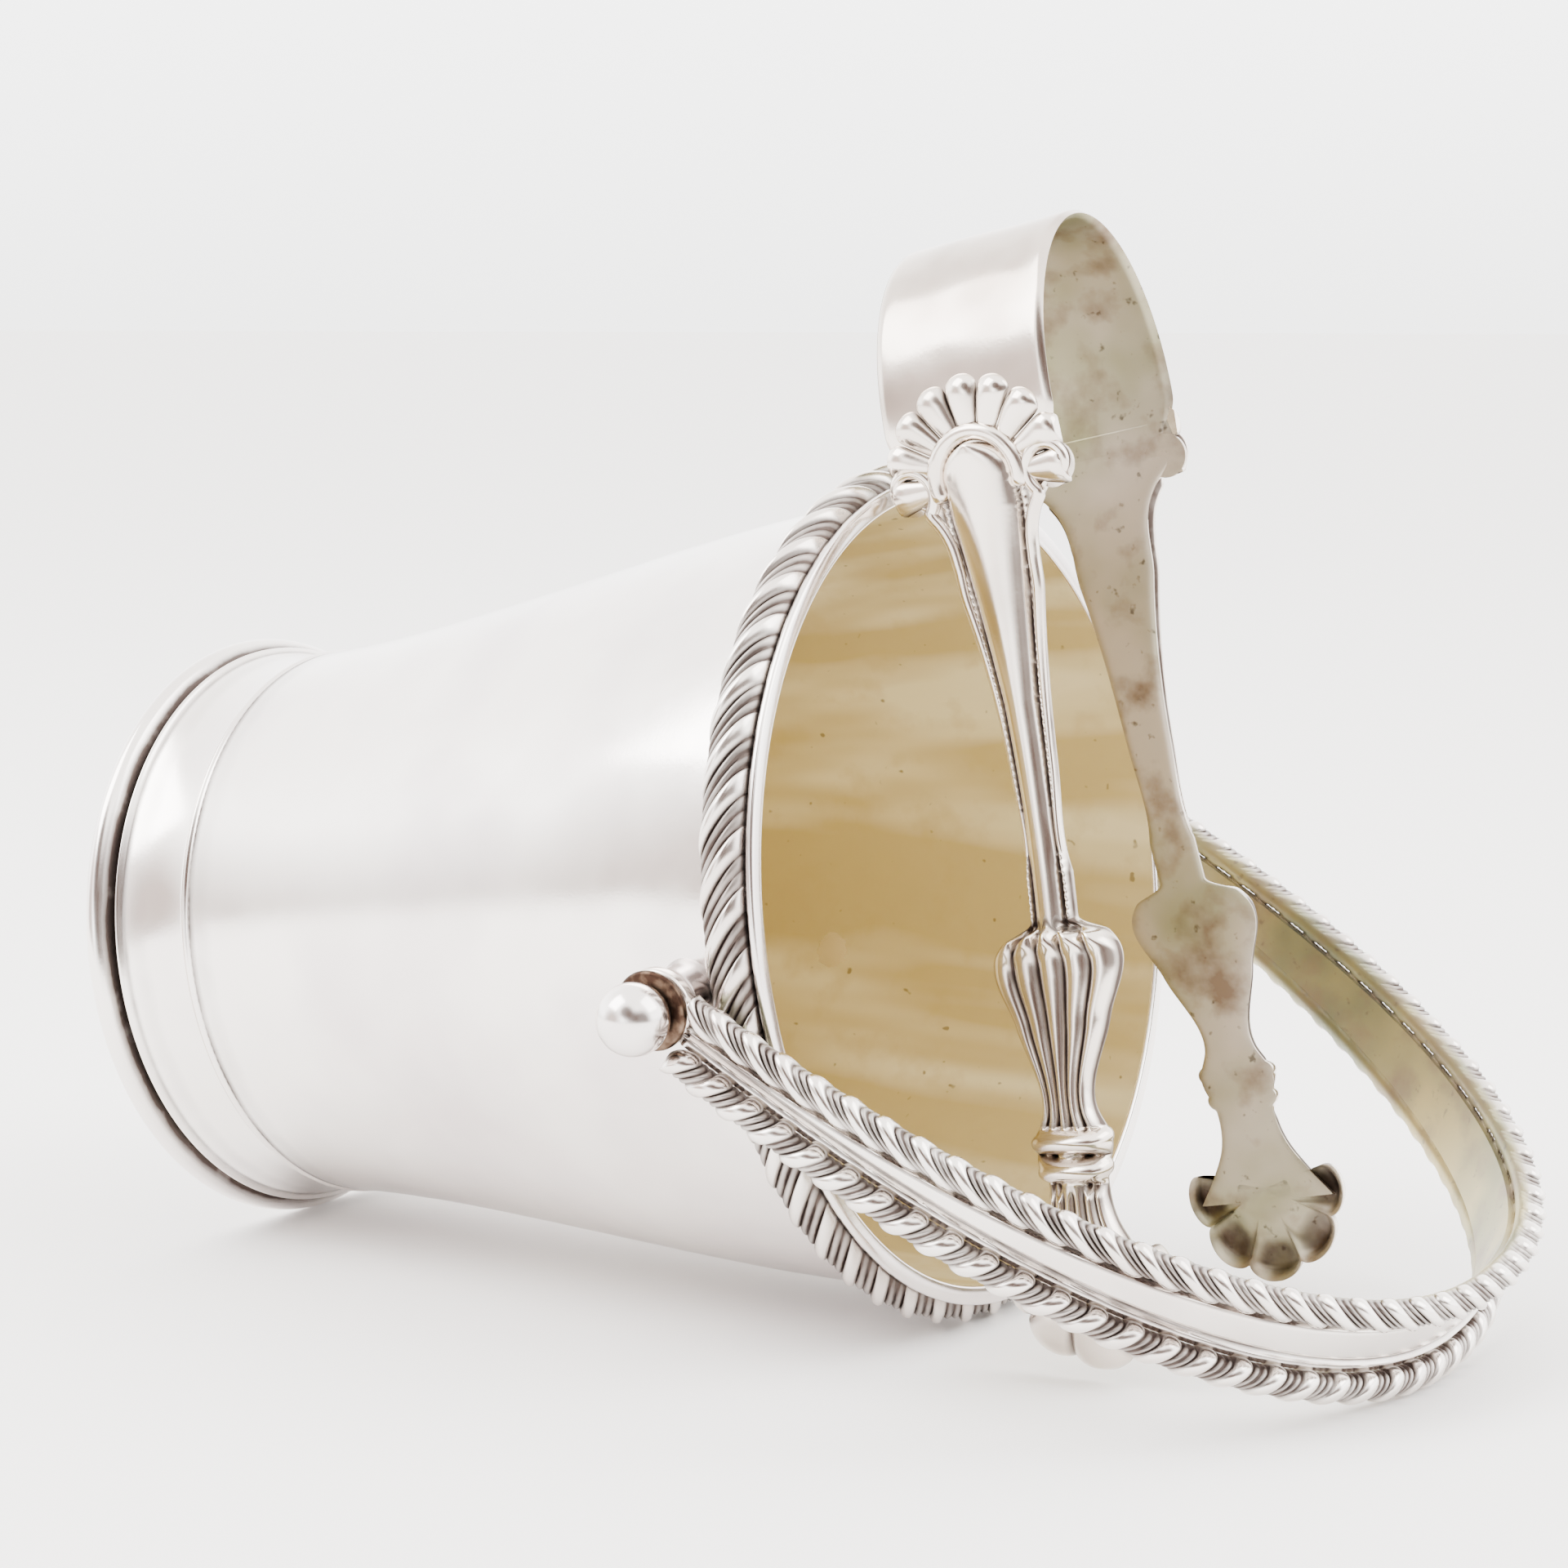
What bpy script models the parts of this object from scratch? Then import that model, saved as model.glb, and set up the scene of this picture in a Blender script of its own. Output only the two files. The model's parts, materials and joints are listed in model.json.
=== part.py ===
"""Silver ice pail with a swing handle and sprung ice tongs, laid out on its side.

The pail is modelled in its own frame: origin at the centre of the foot's underside, +Z along its axis to the
mouth, +X towards the surface it lies on, +Y to its far pivot. The handle hangs in a frame on its hinge line, and
the tongs stand in a frame of their own between the claws. Empties place the three frames in the row frame: +Z up,
+X from foot to mouth, +Y from the near pivot to the far one.
"""

import math

import bmesh
import bpy
import numpy as np
from mathutils import Matrix, Vector

MM = 0.001

# ---------------------------------------------------------------- driving sizes
GAP = 0.3 * MM               # between pieces that touch
SWING_GAP = 1.0 * MM         # between the swinging handle and the rim border

# Pail
MOUTH_RADIUS = 55.0 * MM     # inside, at the lip
PAIL_HEIGHT = 127.0 * MM     # foot's underside to lip
WALL = 1.0 * MM
WAIST_RADIUS = 41.8 * MM     # outside, where the body stands on the foot
WAIST_SLOPE = 0.5            # how briskly the outline leaves the waist, as a share of a straight cone
MOUTH_SLOPE = 0.3            # the same where it reaches the mouth
BASE_THICKNESS = 1.2 * MM
LIP_WIDTH = 2.6 * MM
LIP_HEIGHT = 1.1 * MM
LIP_BEVEL = 0.3 * MM
BORDER_HEIGHT = 6.6 * MM
BORDER_PROUD = 4.0 * MM      # of the body's wall, at the crown

# Foot
FOOT_HEIGHT = 18.5 * MM
FOOT_RADIUS = 45.0 * MM      # outside of the edge moulding
FOOT_COVE_RADIUS = 41.4 * MM
FOOT_FLARE = 1.9 * MM        # how far the cove spreads at its lower end
FOOT_WALL = 1.4 * MM
FOOT_TOP_FLARE = 0.4 * MM    # how far the cove spreads again under the body
EDGE_HEIGHT = 3.9 * MM
EDGE_WIDTH = 3.4 * MM

# Pivots
BOSS_RADIUS = 4.6 * MM
PIN_RADIUS = 1.5 * MM
WASHER_RADIUS = 5.3 * MM
WASHER_THICKNESS = 1.1 * MM
BALL_RADIUS = 4.8 * MM
BALL_FLAT = 3.4 * MM         # from the ball's centre to its flat back
EYE_RADIUS = 5.2 * MM
EYE_THICKNESS = 2.0 * MM

# Handle
HANDLE_REACH = 97.0 * MM     # hinge line to the middle of the strap at the apex
HANDLE_SQUARENESS = 2.25     # exponent of the arch: 2 is an ellipse
STRAP_THICKNESS = 1.4 * MM
BORDER_WIRE_RADIUS = 2.5 * MM
BORDER_OFFSET_APEX = 6.4 * MM    # strap centreline to border wire, at the apex
BORDER_OFFSET_EYE = 3.6 * MM     # the same beside the eyes

# Tongs
TONGS_LENGTH = 153.0 * MM
TONGS_SETBACK = 5.917 * MM   # claws short of the middle between the lip and the handle's apex
TONGS_ASIDE = 4.0 * MM       # towards the far side
BOW_HALF_SPREAD = 18.0 * MM
BOW_DEPTH = 25.0 * MM        # crown down to where the bow's legs run straight
LEAF_HALF_WIDTH = 13.0 * MM
LEAF_THICKNESS = 1.2 * MM
LEAF_END = 0.185             # share of the tongs' length, from the crown, where the cast arm takes over
CROWN_HALF_ANGLE = math.radians(30.0)
SOLDER_SHARE = 0.004         # between leaf and arm, as a share of the tongs' length

# Cast arm, from its shell to its claw: share of the tongs' length below the crown, half spread, half width,
# thickness of the outer relief.
ARM_STATIONS = (
    (0.200, 17.6 * MM, 12.6 * MM, 1.6 * MM),     # shell over the end of the bow
    (0.222, 17.2 * MM, 14.2 * MM, 2.2 * MM),     # volutes
    (0.245, 16.9 * MM, 8.2 * MM, 2.6 * MM),
    (0.330, 16.5 * MM, 5.8 * MM, 3.0 * MM),      # drop-shaped panel
    (0.480, 17.2 * MM, 3.4 * MM, 2.8 * MM),      # narrowest part of the stem
    (0.570, 18.6 * MM, 4.6 * MM, 2.8 * MM),
    (0.640, 20.4 * MM, 9.4 * MM, 4.0 * MM),      # scalloped top of the fan
    (0.775, 24.6 * MM, 3.9 * MM, 3.2 * MM),      # neck
    (0.800, 25.2 * MM, 5.9 * MM, 4.6 * MM),      # collars
    (0.838, 26.0 * MM, 4.6 * MM, 3.6 * MM),
    (0.900, 27.4 * MM, 9.0 * MM, 4.2 * MM),      # fluted flare
    (0.950, 27.8 * MM, 14.6 * MM, 4.4 * MM),     # widest part of the claw
    (1.000, 26.6 * MM, 9.0 * MM, 3.0 * MM),      # claw's tip
)

# Lie of the set
PAIL_ROLL = math.radians(6.0)    # near pivot lower than the far one

# Facets
ROUND_STEPS = 48
SMALL_STEPS = 16
HANDLE_POINTS = 36
ARM_POINTS = 30
SECTION_POINTS = 10

MERGE_DISTANCE = 0.01 * MM
COLLECTION_NAME = "silver_ice_pail"


# ---------------------------------------------------------------- worked-out places
BODY_TOP = PAIL_HEIGHT - LIP_HEIGHT - GAP
BORDER_TOP = BODY_TOP
BORDER_BOTTOM = BORDER_TOP - BORDER_HEIGHT
BORDER_INNER = MOUTH_RADIUS + WALL + GAP
BORDER_CROWN = BORDER_INNER + BORDER_PROUD
PIVOT_HEIGHT = BORDER_BOTTOM - GAP - BOSS_RADIUS
EYE_INNER = BORDER_CROWN + SWING_GAP
HANDLE_HALF_SPAN = EYE_INNER + EYE_THICKNESS / 2
WASHER_INNER = EYE_INNER + EYE_THICKNESS + GAP
BALL_CENTRE = WASHER_INNER + WASHER_THICKNESS + GAP + BALL_FLAT
BORE_RADIUS = PIN_RADIUS + GAP


def body_radius(height):
    """Outside radius of the body: a cubic from the waist to the mouth with a set slope at each end."""
    t = (height - FOOT_HEIGHT) / (PAIL_HEIGHT - FOOT_HEIGHT)
    rise = WAIST_SLOPE * (t - 2 * t**2 + t**3) + 3 * t**2 - 2 * t**3 + MOUTH_SLOPE * (t**3 - t**2)
    return WAIST_RADIUS + (MOUTH_RADIUS + WALL - WAIST_RADIUS) * rise


def through(stations, column, share):
    """Smooth curve through one column of a table of stations, with slopes taken from the neighbours."""
    x = np.array([row[0] for row in stations])
    y = np.array([row[column] for row in stations])
    slope = np.gradient(y, x)
    i = np.clip(np.searchsorted(x, share, side="right") - 1, 0, len(x) - 2)
    step = x[i + 1] - x[i]
    t = np.clip((share - x[i]) / step, 0.0, 1.0)
    lean_in = (t - 2 * t**2 + t**3) * step * slope[i]
    lean_out = (t**3 - t**2) * step * slope[i + 1]
    return y[i] * (1 - 3 * t**2 + 2 * t**3) + y[i + 1] * (3 * t**2 - 2 * t**3) + lean_in + lean_out


# ---------------------------------------------------------------- how the set lies
CONTACT_RISE = math.atan2(BORDER_CROWN - FOOT_RADIUS, (BORDER_TOP + BORDER_BOTTOM) / 2 - EDGE_HEIGHT / 2)
SURFACE_DROP = FOOT_RADIUS * math.cos(CONTACT_RISE) - EDGE_HEIGHT / 2 * math.sin(CONTACT_RISE)


def arch(count):
    """Points of the handle's arch, evenly spaced: y across the hinge, z away from it, and share of its length."""
    angle = np.linspace(0.0, math.pi, 721)
    power = 2.0 / HANDLE_SQUARENESS
    y = -HANDLE_HALF_SPAN * np.sign(np.cos(angle)) * np.abs(np.cos(angle)) ** power
    z = HANDLE_REACH * np.abs(np.sin(angle)) ** power
    length = np.concatenate([[0.0], np.cumsum(np.hypot(np.diff(y), np.diff(z)))])
    start = EYE_RADIUS + GAP
    wanted = np.linspace(start, length[-1] - start, count)
    return np.interp(wanted, length, y), np.interp(wanted, length, z), wanted / length[-1]


def border_offset(share):
    """How far each border wire runs from the strap's centreline: widest at the apex."""
    return BORDER_OFFSET_EYE + (BORDER_OFFSET_APEX - BORDER_OFFSET_EYE) * np.sin(np.pi * share) ** 1.2


def arch_normals(y, z):
    """Unit vectors in the arch's plane that point away from its inside."""
    along_y, along_z = np.gradient(y), np.gradient(z)
    size = np.hypot(along_y, along_z)
    return -along_z / size, along_y / size


def border_path(side, count):
    """Centreline of one border wire in the hinge frame, flush with the strap's inner face."""
    y, z, share = arch(count)
    normal_y, normal_z = arch_normals(y, z)
    lift = BORDER_WIRE_RADIUS - STRAP_THICKNESS / 2
    return np.stack([side * border_offset(share), y + lift * normal_y, z + lift * normal_z], axis=1)


def lowest_of_handle(swing):
    """Height of the handle's lowest point over the pail's axis at the foot, for one swing angle."""
    path = border_path(1.0, 120)
    x = path[:, 0] * math.cos(swing) + path[:, 2] * math.sin(swing)
    z = PIVOT_HEIGHT - path[:, 0] * math.sin(swing) + path[:, 2] * math.cos(swing)
    down = x * math.cos(PAIL_ROLL) - path[:, 1] * math.sin(PAIL_ROLL)
    height = z * math.sin(CONTACT_RISE) - down * math.cos(CONTACT_RISE)
    return float(height.min()) - BORDER_WIRE_RADIUS


def rest_swing():
    """Angle between the pail's axis and the handle when the handle lies on the surface."""
    low, high = 0.0, math.pi / 2
    for _ in range(40):
        middle = (low + high) / 2
        if lowest_of_handle(middle) > -SURFACE_DROP:
            low = middle
        else:
            high = middle
    return low


def lip_face():
    """Places up the front face of the lip above its centre: ahead of the mouth's centre, and over the surface.

    The arm meets the lip a little to one side of its top, so the face is taken a lip's width lower too.
    """
    radius = np.linspace(MOUTH_RADIUS - LIP_WIDTH, MOUTH_RADIUS + LIP_WIDTH, 9)
    ahead = -radius * math.sin(CONTACT_RISE)
    height = SURFACE_DROP + PAIL_HEIGHT * math.sin(CONTACT_RISE) + radius * math.cos(CONTACT_RISE)
    return ahead, height


def tongs_raise(lean):
    """How far the tongs' foot is raised, so that the claw's back corner just stands on the surface."""
    shares = np.linspace(0.9, 1.0, 21)
    below = through(ARM_STATIONS, 2, shares) * math.sin(lean) - TONGS_LENGTH * (1.0 - shares) * math.cos(lean)
    return float(below.max())


def tongs_ahead():
    """Where the claws stand, ahead of the mouth's centre: between the lower lip and the apex of the handle."""
    swing = rest_swing()
    across = math.sin(swing) * math.cos(PAIL_ROLL) * math.sin(CONTACT_RISE)
    along = PIVOT_HEIGHT - PAIL_HEIGHT + HANDLE_REACH * math.cos(swing)
    apex = along * math.cos(CONTACT_RISE) + HANDLE_REACH * across
    lower_lip = (MOUTH_RADIUS + LIP_WIDTH) * math.sin(CONTACT_RISE)
    return (apex + lower_lip) / 2 - TONGS_SETBACK


def tongs_lean():
    """Angle at which the near arm's shoulder leans back against the lip."""
    ahead, height = lip_face()
    claws = tongs_ahead()
    low, high = 0.0, math.pi / 4
    for _ in range(40):
        lean = (low + high) / 2
        over_foot = height - tongs_raise(lean)
        across = (ahead - claws) * math.cos(lean) + over_foot * math.sin(lean)
        along = (claws - ahead) * math.sin(lean) + over_foot * math.cos(lean)
        share = 1.0 - along / TONGS_LENGTH
        reach = np.where(share < LEAF_END, LEAF_HALF_WIDTH, through(ARM_STATIONS, 2, share))
        if np.all(across + reach + GAP < 0.0):
            low = lean
        else:
            high = lean
    return low


# ---------------------------------------------------------------- making objects
def clear_scene():
    for item in list(bpy.data.objects):
        bpy.data.objects.remove(item, do_unlink=True)


def make_collection(name):
    collection = bpy.data.collections.new(name)
    bpy.context.scene.collection.children.link(collection)
    return collection


def make_material(name, colour, roughness, metallic=1.0):
    material = bpy.data.materials.new(name)
    material.use_nodes = True
    shader = material.node_tree.nodes["Principled BSDF"]
    shader.inputs["Base Color"].default_value = (*colour, 1.0)
    shader.inputs["Roughness"].default_value = roughness
    shader.inputs["Metallic"].default_value = metallic
    material.diffuse_color = (*colour, 1.0)
    return material


def add_empty(name, collection, parent, location=(0, 0, 0), rotation=(0, 0, 0), mode="XYZ"):
    empty = bpy.data.objects.new(name, None)
    collection.objects.link(empty)
    empty.empty_display_size = 10 * MM
    empty.parent = parent
    empty.rotation_mode = mode
    empty.location = location
    empty.rotation_euler = rotation
    return empty


def add_mesh(name, mesh, collection, parent, material, location=(0, 0, 0), rotation=(0, 0, 0)):
    mesh.materials.append(material)
    mesh.shade_smooth()
    mesh.set_sharp_from_angle(angle=math.radians(35.0))
    item = bpy.data.objects.new(name, mesh)
    collection.objects.link(item)
    item.parent = parent
    item.location = location
    item.rotation_euler = rotation
    return item


def add_turned(name, profile, closed, steps, collection, parent, material, **place):
    """A profile of (radius, height) points, outer side running down, turned round Z by a Screw modifier."""
    points = [(radius, 0.0, height) for radius, height in profile]
    edges = [(i, i + 1) for i in range(len(points) - 1)]
    if closed:
        edges.append((len(points) - 1, 0))
    mesh = bpy.data.meshes.new(name)
    mesh.from_pydata(points, edges, [])
    item = add_mesh(name, mesh, collection, parent, material, **place)
    screw = item.modifiers.new("turn", "SCREW")
    screw.axis = "Z"
    screw.angle = 2 * math.pi
    screw.steps = steps
    screw.render_steps = steps
    screw.use_merge_vertices = True
    screw.merge_threshold = MERGE_DISTANCE
    screw.use_smooth_shade = True
    return item


def add_strap(name, points, thickness, collection, parent, material):
    """An open grid of points, count by count by 3, given its thickness by a Solidify modifier."""
    count, across = points.shape[:2]
    vertices = [tuple(point) for point in points.reshape(-1, 3)]
    faces = []
    for i in range(count - 1):
        for j in range(across - 1):
            corner = i * across + j
            faces.append((corner, corner + 1, corner + across + 1, corner + across))
    mesh = bpy.data.meshes.new(name)
    mesh.from_pydata(vertices, [], faces)
    item = add_mesh(name, mesh, collection, parent, material)
    wall = item.modifiers.new("wall", "SOLIDIFY")
    wall.thickness = thickness
    wall.offset = 0.0
    wall.use_even_offset = True
    return item


def add_wire(name, path, radius, collection, parent, material):
    """A round wire: a poly spline with a bevel and filled caps."""
    curve = bpy.data.curves.new(name, "CURVE")
    curve.dimensions = "3D"
    curve.bevel_depth = radius
    curve.bevel_resolution = 2
    curve.use_fill_caps = True
    spline = curve.splines.new("POLY")
    spline.points.add(len(path) - 1)
    for point, place in zip(spline.points, path):
        point.co = (*place, 1.0)
    curve.materials.append(material)
    item = bpy.data.objects.new(name, curve)
    collection.objects.link(item)
    item.parent = parent
    return item


def add_loft(name, rings, collection, parent, material):
    """A closed skin over unlike sections, each a ring of the same number of points, with flat ends."""
    shape = bmesh.new()
    rows = [[shape.verts.new(Vector(point)) for point in ring] for ring in rings]
    around = len(rows[0])
    for lower, upper in zip(rows[:-1], rows[1:]):
        for j in range(around):
            k = (j + 1) % around
            shape.faces.new((lower[j], lower[k], upper[k], upper[j]))
    shape.faces.new(rows[0])
    shape.faces.new(rows[-1])
    bmesh.ops.recalc_face_normals(shape, faces=shape.faces)
    mesh = bpy.data.meshes.new(name)
    shape.to_mesh(mesh)
    shape.free()
    return add_mesh(name, mesh, collection, parent, material)


def arc(centre_radius, centre_height, half_radius, half_height, start, end, count):
    """Points of an elliptical arc in the profile's plane, by angle from straight outwards."""
    angles = np.radians(np.linspace(start, end, count))
    return [(centre_radius + half_radius * math.cos(a), centre_height + half_height * math.sin(a)) for a in angles]


# ---------------------------------------------------------------- pail
def build_body(collection, frame, materials):
    heights = np.linspace(BODY_TOP, FOOT_HEIGHT, 11)
    outer = [(body_radius(z), z) for z in heights]
    inner = [(body_radius(z) - WALL, z) for z in heights[::-1]]
    add_turned("pail_body", outer + inner, True, ROUND_STEPS, collection, frame, materials["silver"])


def build_base(collection, frame, materials):
    top = FOOT_HEIGHT + GAP + BASE_THICKNESS
    radius = body_radius(FOOT_HEIGHT + GAP) - WALL - GAP
    profile = [(0.0, top), (radius, top), (radius, top - BASE_THICKNESS), (0.0, top - BASE_THICKNESS)]
    add_turned("pail_base", profile, False, ROUND_STEPS, collection, frame, materials["gilt"])


def build_foot(collection, frame, materials):
    """A coved ring: waisted in the middle, spreading to the moulding below."""
    top, bottom = FOOT_HEIGHT - GAP, EDGE_HEIGHT + GAP
    shares = np.linspace(0.0, 1.0, 7)
    outer = [
        (FOOT_COVE_RADIUS + FOOT_FLARE * s**3 + FOOT_TOP_FLARE * (1 - s) ** 4, top + (bottom - top) * s)
        for s in shares
    ]
    inner = [(radius - FOOT_WALL, z) for radius, z in outer[::-1]]
    add_turned("foot_ring", outer + inner, True, ROUND_STEPS, collection, frame, materials["silver"])

    centre = FOOT_RADIUS - EDGE_WIDTH / 2
    outer = arc(centre, EDGE_HEIGHT / 2, EDGE_WIDTH / 2, EDGE_HEIGHT / 2, 60, -60, 6)
    flat = FOOT_RADIUS - EDGE_WIDTH
    profile = [(flat, EDGE_HEIGHT), (centre, EDGE_HEIGHT)] + outer + [(centre, 0.0), (flat, 0.0)]
    add_turned("foot_edge", profile, True, ROUND_STEPS, collection, frame, materials["silver"])


def build_rim(collection, frame, materials):
    middle = (BORDER_TOP + BORDER_BOTTOM) / 2
    crown = arc(BORDER_INNER, middle, BORDER_PROUD, BORDER_HEIGHT / 2, 90, -90, 9)
    add_turned("rim_border", crown, True, ROUND_STEPS, collection, frame, materials["silver"])

    outer = MOUTH_RADIUS + LIP_WIDTH
    profile = [(MOUTH_RADIUS, PAIL_HEIGHT), (outer - LIP_BEVEL, PAIL_HEIGHT), (outer, PAIL_HEIGHT - LIP_BEVEL)]
    profile += [(outer, PAIL_HEIGHT - LIP_HEIGHT), (MOUTH_RADIUS, PAIL_HEIGHT - LIP_HEIGHT)]
    add_turned("rim_lip", profile, True, ROUND_STEPS, collection, frame, materials["silver"])


def tube_profile(outer, inner, bottom, top):
    return [(inner, top), (outer, top), (outer, bottom), (inner, bottom)]


def build_pivot(side, name, collection, frame, materials):
    """Boss, pin, washer and ball of one pivot, on an axis that leaves the pail square to its own axis."""
    place = {"location": (0, 0, PIVOT_HEIGHT), "rotation": (-side * math.pi / 2, 0, 0)}
    inner = body_radius(PIVOT_HEIGHT + BOSS_RADIUS) + GAP
    boss = tube_profile(BOSS_RADIUS, BORE_RADIUS, inner, EYE_INNER - GAP)
    add_turned(name + "_boss", boss, True, SMALL_STEPS, collection, frame, materials["silver"], **place)

    pin = [(0.0, BALL_CENTRE - GAP), (PIN_RADIUS, BALL_CENTRE - GAP), (PIN_RADIUS, inner), (0.0, inner)]
    add_turned(name + "_pin", pin, False, SMALL_STEPS, collection, frame, materials["silver"], **place)

    washer = tube_profile(WASHER_RADIUS, BORE_RADIUS, WASHER_INNER, WASHER_INNER + WASHER_THICKNESS)
    add_turned(name + "_washer", washer, True, SMALL_STEPS, collection, frame, materials["tarnished"], **place)

    flat_angle = -math.degrees(math.asin(BALL_FLAT / BALL_RADIUS))
    ball = arc(0.0, BALL_CENTRE, BALL_RADIUS, BALL_RADIUS, 90, flat_angle, 9)
    ball[0] = (0.0, BALL_CENTRE + BALL_RADIUS)
    ball += [(BORE_RADIUS, BALL_CENTRE - BALL_FLAT), (BORE_RADIUS, BALL_CENTRE), (0.0, BALL_CENTRE)]
    add_turned(name + "_ball", ball, False, SMALL_STEPS, collection, frame, materials["silver"], **place)


# ---------------------------------------------------------------- handle
def build_eye(side, name, collection, hinge, materials):
    place = {"rotation": (-side * math.pi / 2, 0, 0)}
    eye = tube_profile(EYE_RADIUS, BORE_RADIUS, EYE_INNER, EYE_INNER + EYE_THICKNESS)
    add_turned(name + "_eye", eye, True, SMALL_STEPS, collection, hinge, materials["silver"], **place)


def build_handle(collection, hinge, materials):
    y, z, share = arch(HANDLE_POINTS)
    half = border_offset(share) - BORDER_WIRE_RADIUS - GAP
    across = np.linspace(-1.0, 1.0, 3)
    strap = np.stack([half[:, None] * across, y[:, None] + 0 * across, z[:, None] + 0 * across], axis=2)
    add_strap("handle_strap", strap, STRAP_THICKNESS, collection, hinge, materials["silver"])
    for name, side in (("handle_border_left", -1.0), ("handle_border_right", 1.0)):
        path = border_path(side, HANDLE_POINTS)
        add_wire(name, path, BORDER_WIRE_RADIUS, collection, hinge, materials["silver"])


# ---------------------------------------------------------------- tongs
def bow_point(angle):
    """A point of the bow's half ellipse: spread and height, by angle from straight up."""
    return BOW_HALF_SPREAD * np.sin(angle), TONGS_LENGTH - BOW_DEPTH * (1.0 - np.cos(angle))


def build_crown(collection, stand, materials):
    angles = np.linspace(-CROWN_HALF_ANGLE, CROWN_HALF_ANGLE, 9)
    y, z = bow_point(angles)
    z = z - LEAF_THICKNESS / 2
    across = np.array([-LEAF_HALF_WIDTH, 0.0, LEAF_HALF_WIDTH])
    crown = np.stack([across[None, :] + 0 * y[:, None], y[:, None] + 0 * across, z[:, None] + 0 * across], axis=2)
    add_strap("tongs_crown", crown, LEAF_THICKNESS, collection, stand, materials["silver"])


def leaf_line():
    """Centreline of one leg of the bow: down the half ellipse, then on to the shoulder."""
    clear = GAP / BOW_HALF_SPREAD
    angles = np.linspace(CROWN_HALF_ANGLE + clear, math.pi / 2, 12)
    y, z = bow_point(angles)
    end_share = LEAF_END
    shoulder_y = ARM_STATIONS[0][1]
    steps = np.linspace(0.0, 1.0, 4)[1:]
    y = np.concatenate([y, BOW_HALF_SPREAD + (shoulder_y - BOW_HALF_SPREAD) * steps])
    z = np.concatenate([z, z[-1] + (TONGS_LENGTH * (1.0 - end_share) - z[-1]) * steps])
    return y, z - LEAF_THICKNESS / 2


def build_leaf(side, name, collection, hinge, origin, materials):
    y, z = leaf_line()
    across = np.array([-LEAF_HALF_WIDTH, 0.0, LEAF_HALF_WIDTH])
    local_y = side * y - origin[1]
    local_z = z - origin[2]
    leaf = np.stack([across[None, :] + 0 * y[:, None], local_y[:, None] + 0 * across, local_z[:, None] + 0 * across],
                    axis=2)
    if side < 0:
        leaf = leaf[:, ::-1]
    add_strap(name, leaf, LEAF_THICKNESS, collection, hinge, materials["silver"])


def build_arm(side, name, collection, hinge, origin, materials):
    """A loft of half-round sections along the arm: flat towards the other arm, domed on the outside."""
    first = LEAF_END + GAP / TONGS_LENGTH + SOLDER_SHARE
    shares = np.linspace(first, 1.0, ARM_POINTS)
    spread = through(ARM_STATIONS, 1, shares)
    half_width = through(ARM_STATIONS, 2, shares)
    relief = through(ARM_STATIONS, 3, shares)
    height = TONGS_LENGTH * (1.0 - shares)
    turn = np.linspace(0.0, math.pi, SECTION_POINTS)
    rings = []
    for y, z, wide, thick in zip(spread, height, half_width, relief):
        ring = [(wide * math.cos(a), side * (y - LEAF_THICKNESS / 2 + thick * math.sin(a))) for a in turn]
        rings.append([(px, py - origin[1], z - origin[2]) for px, py in ring])
    add_loft(name, rings, collection, hinge, materials["silver"])


# ---------------------------------------------------------------- the set
def stand_on_origin(root, collection):
    """Move the root so that the set's box is centred over the origin and its lowest point is at z = 0."""
    bpy.context.view_layer.update()
    graph = bpy.context.evaluated_depsgraph_get()
    low, high = np.full(3, np.inf), np.full(3, -np.inf)
    for item in collection.objects:
        if item.type not in {"MESH", "CURVE"}:
            continue
        evaluated = item.evaluated_get(graph)
        mesh = evaluated.to_mesh()
        points = np.empty(len(mesh.vertices) * 3, dtype=np.float32)
        mesh.vertices.foreach_get("co", points)
        points = points.reshape(-1, 3)
        matrix = np.array(evaluated.matrix_world)
        points = points @ matrix[:3, :3].T + matrix[:3, 3]
        low, high = np.minimum(low, points.min(axis=0)), np.maximum(high, points.max(axis=0))
        evaluated.to_mesh_clear()
    middle = (low + high) / 2
    root.location = (-middle[0], -middle[1], -low[2])
    bpy.context.view_layer.update()


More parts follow.
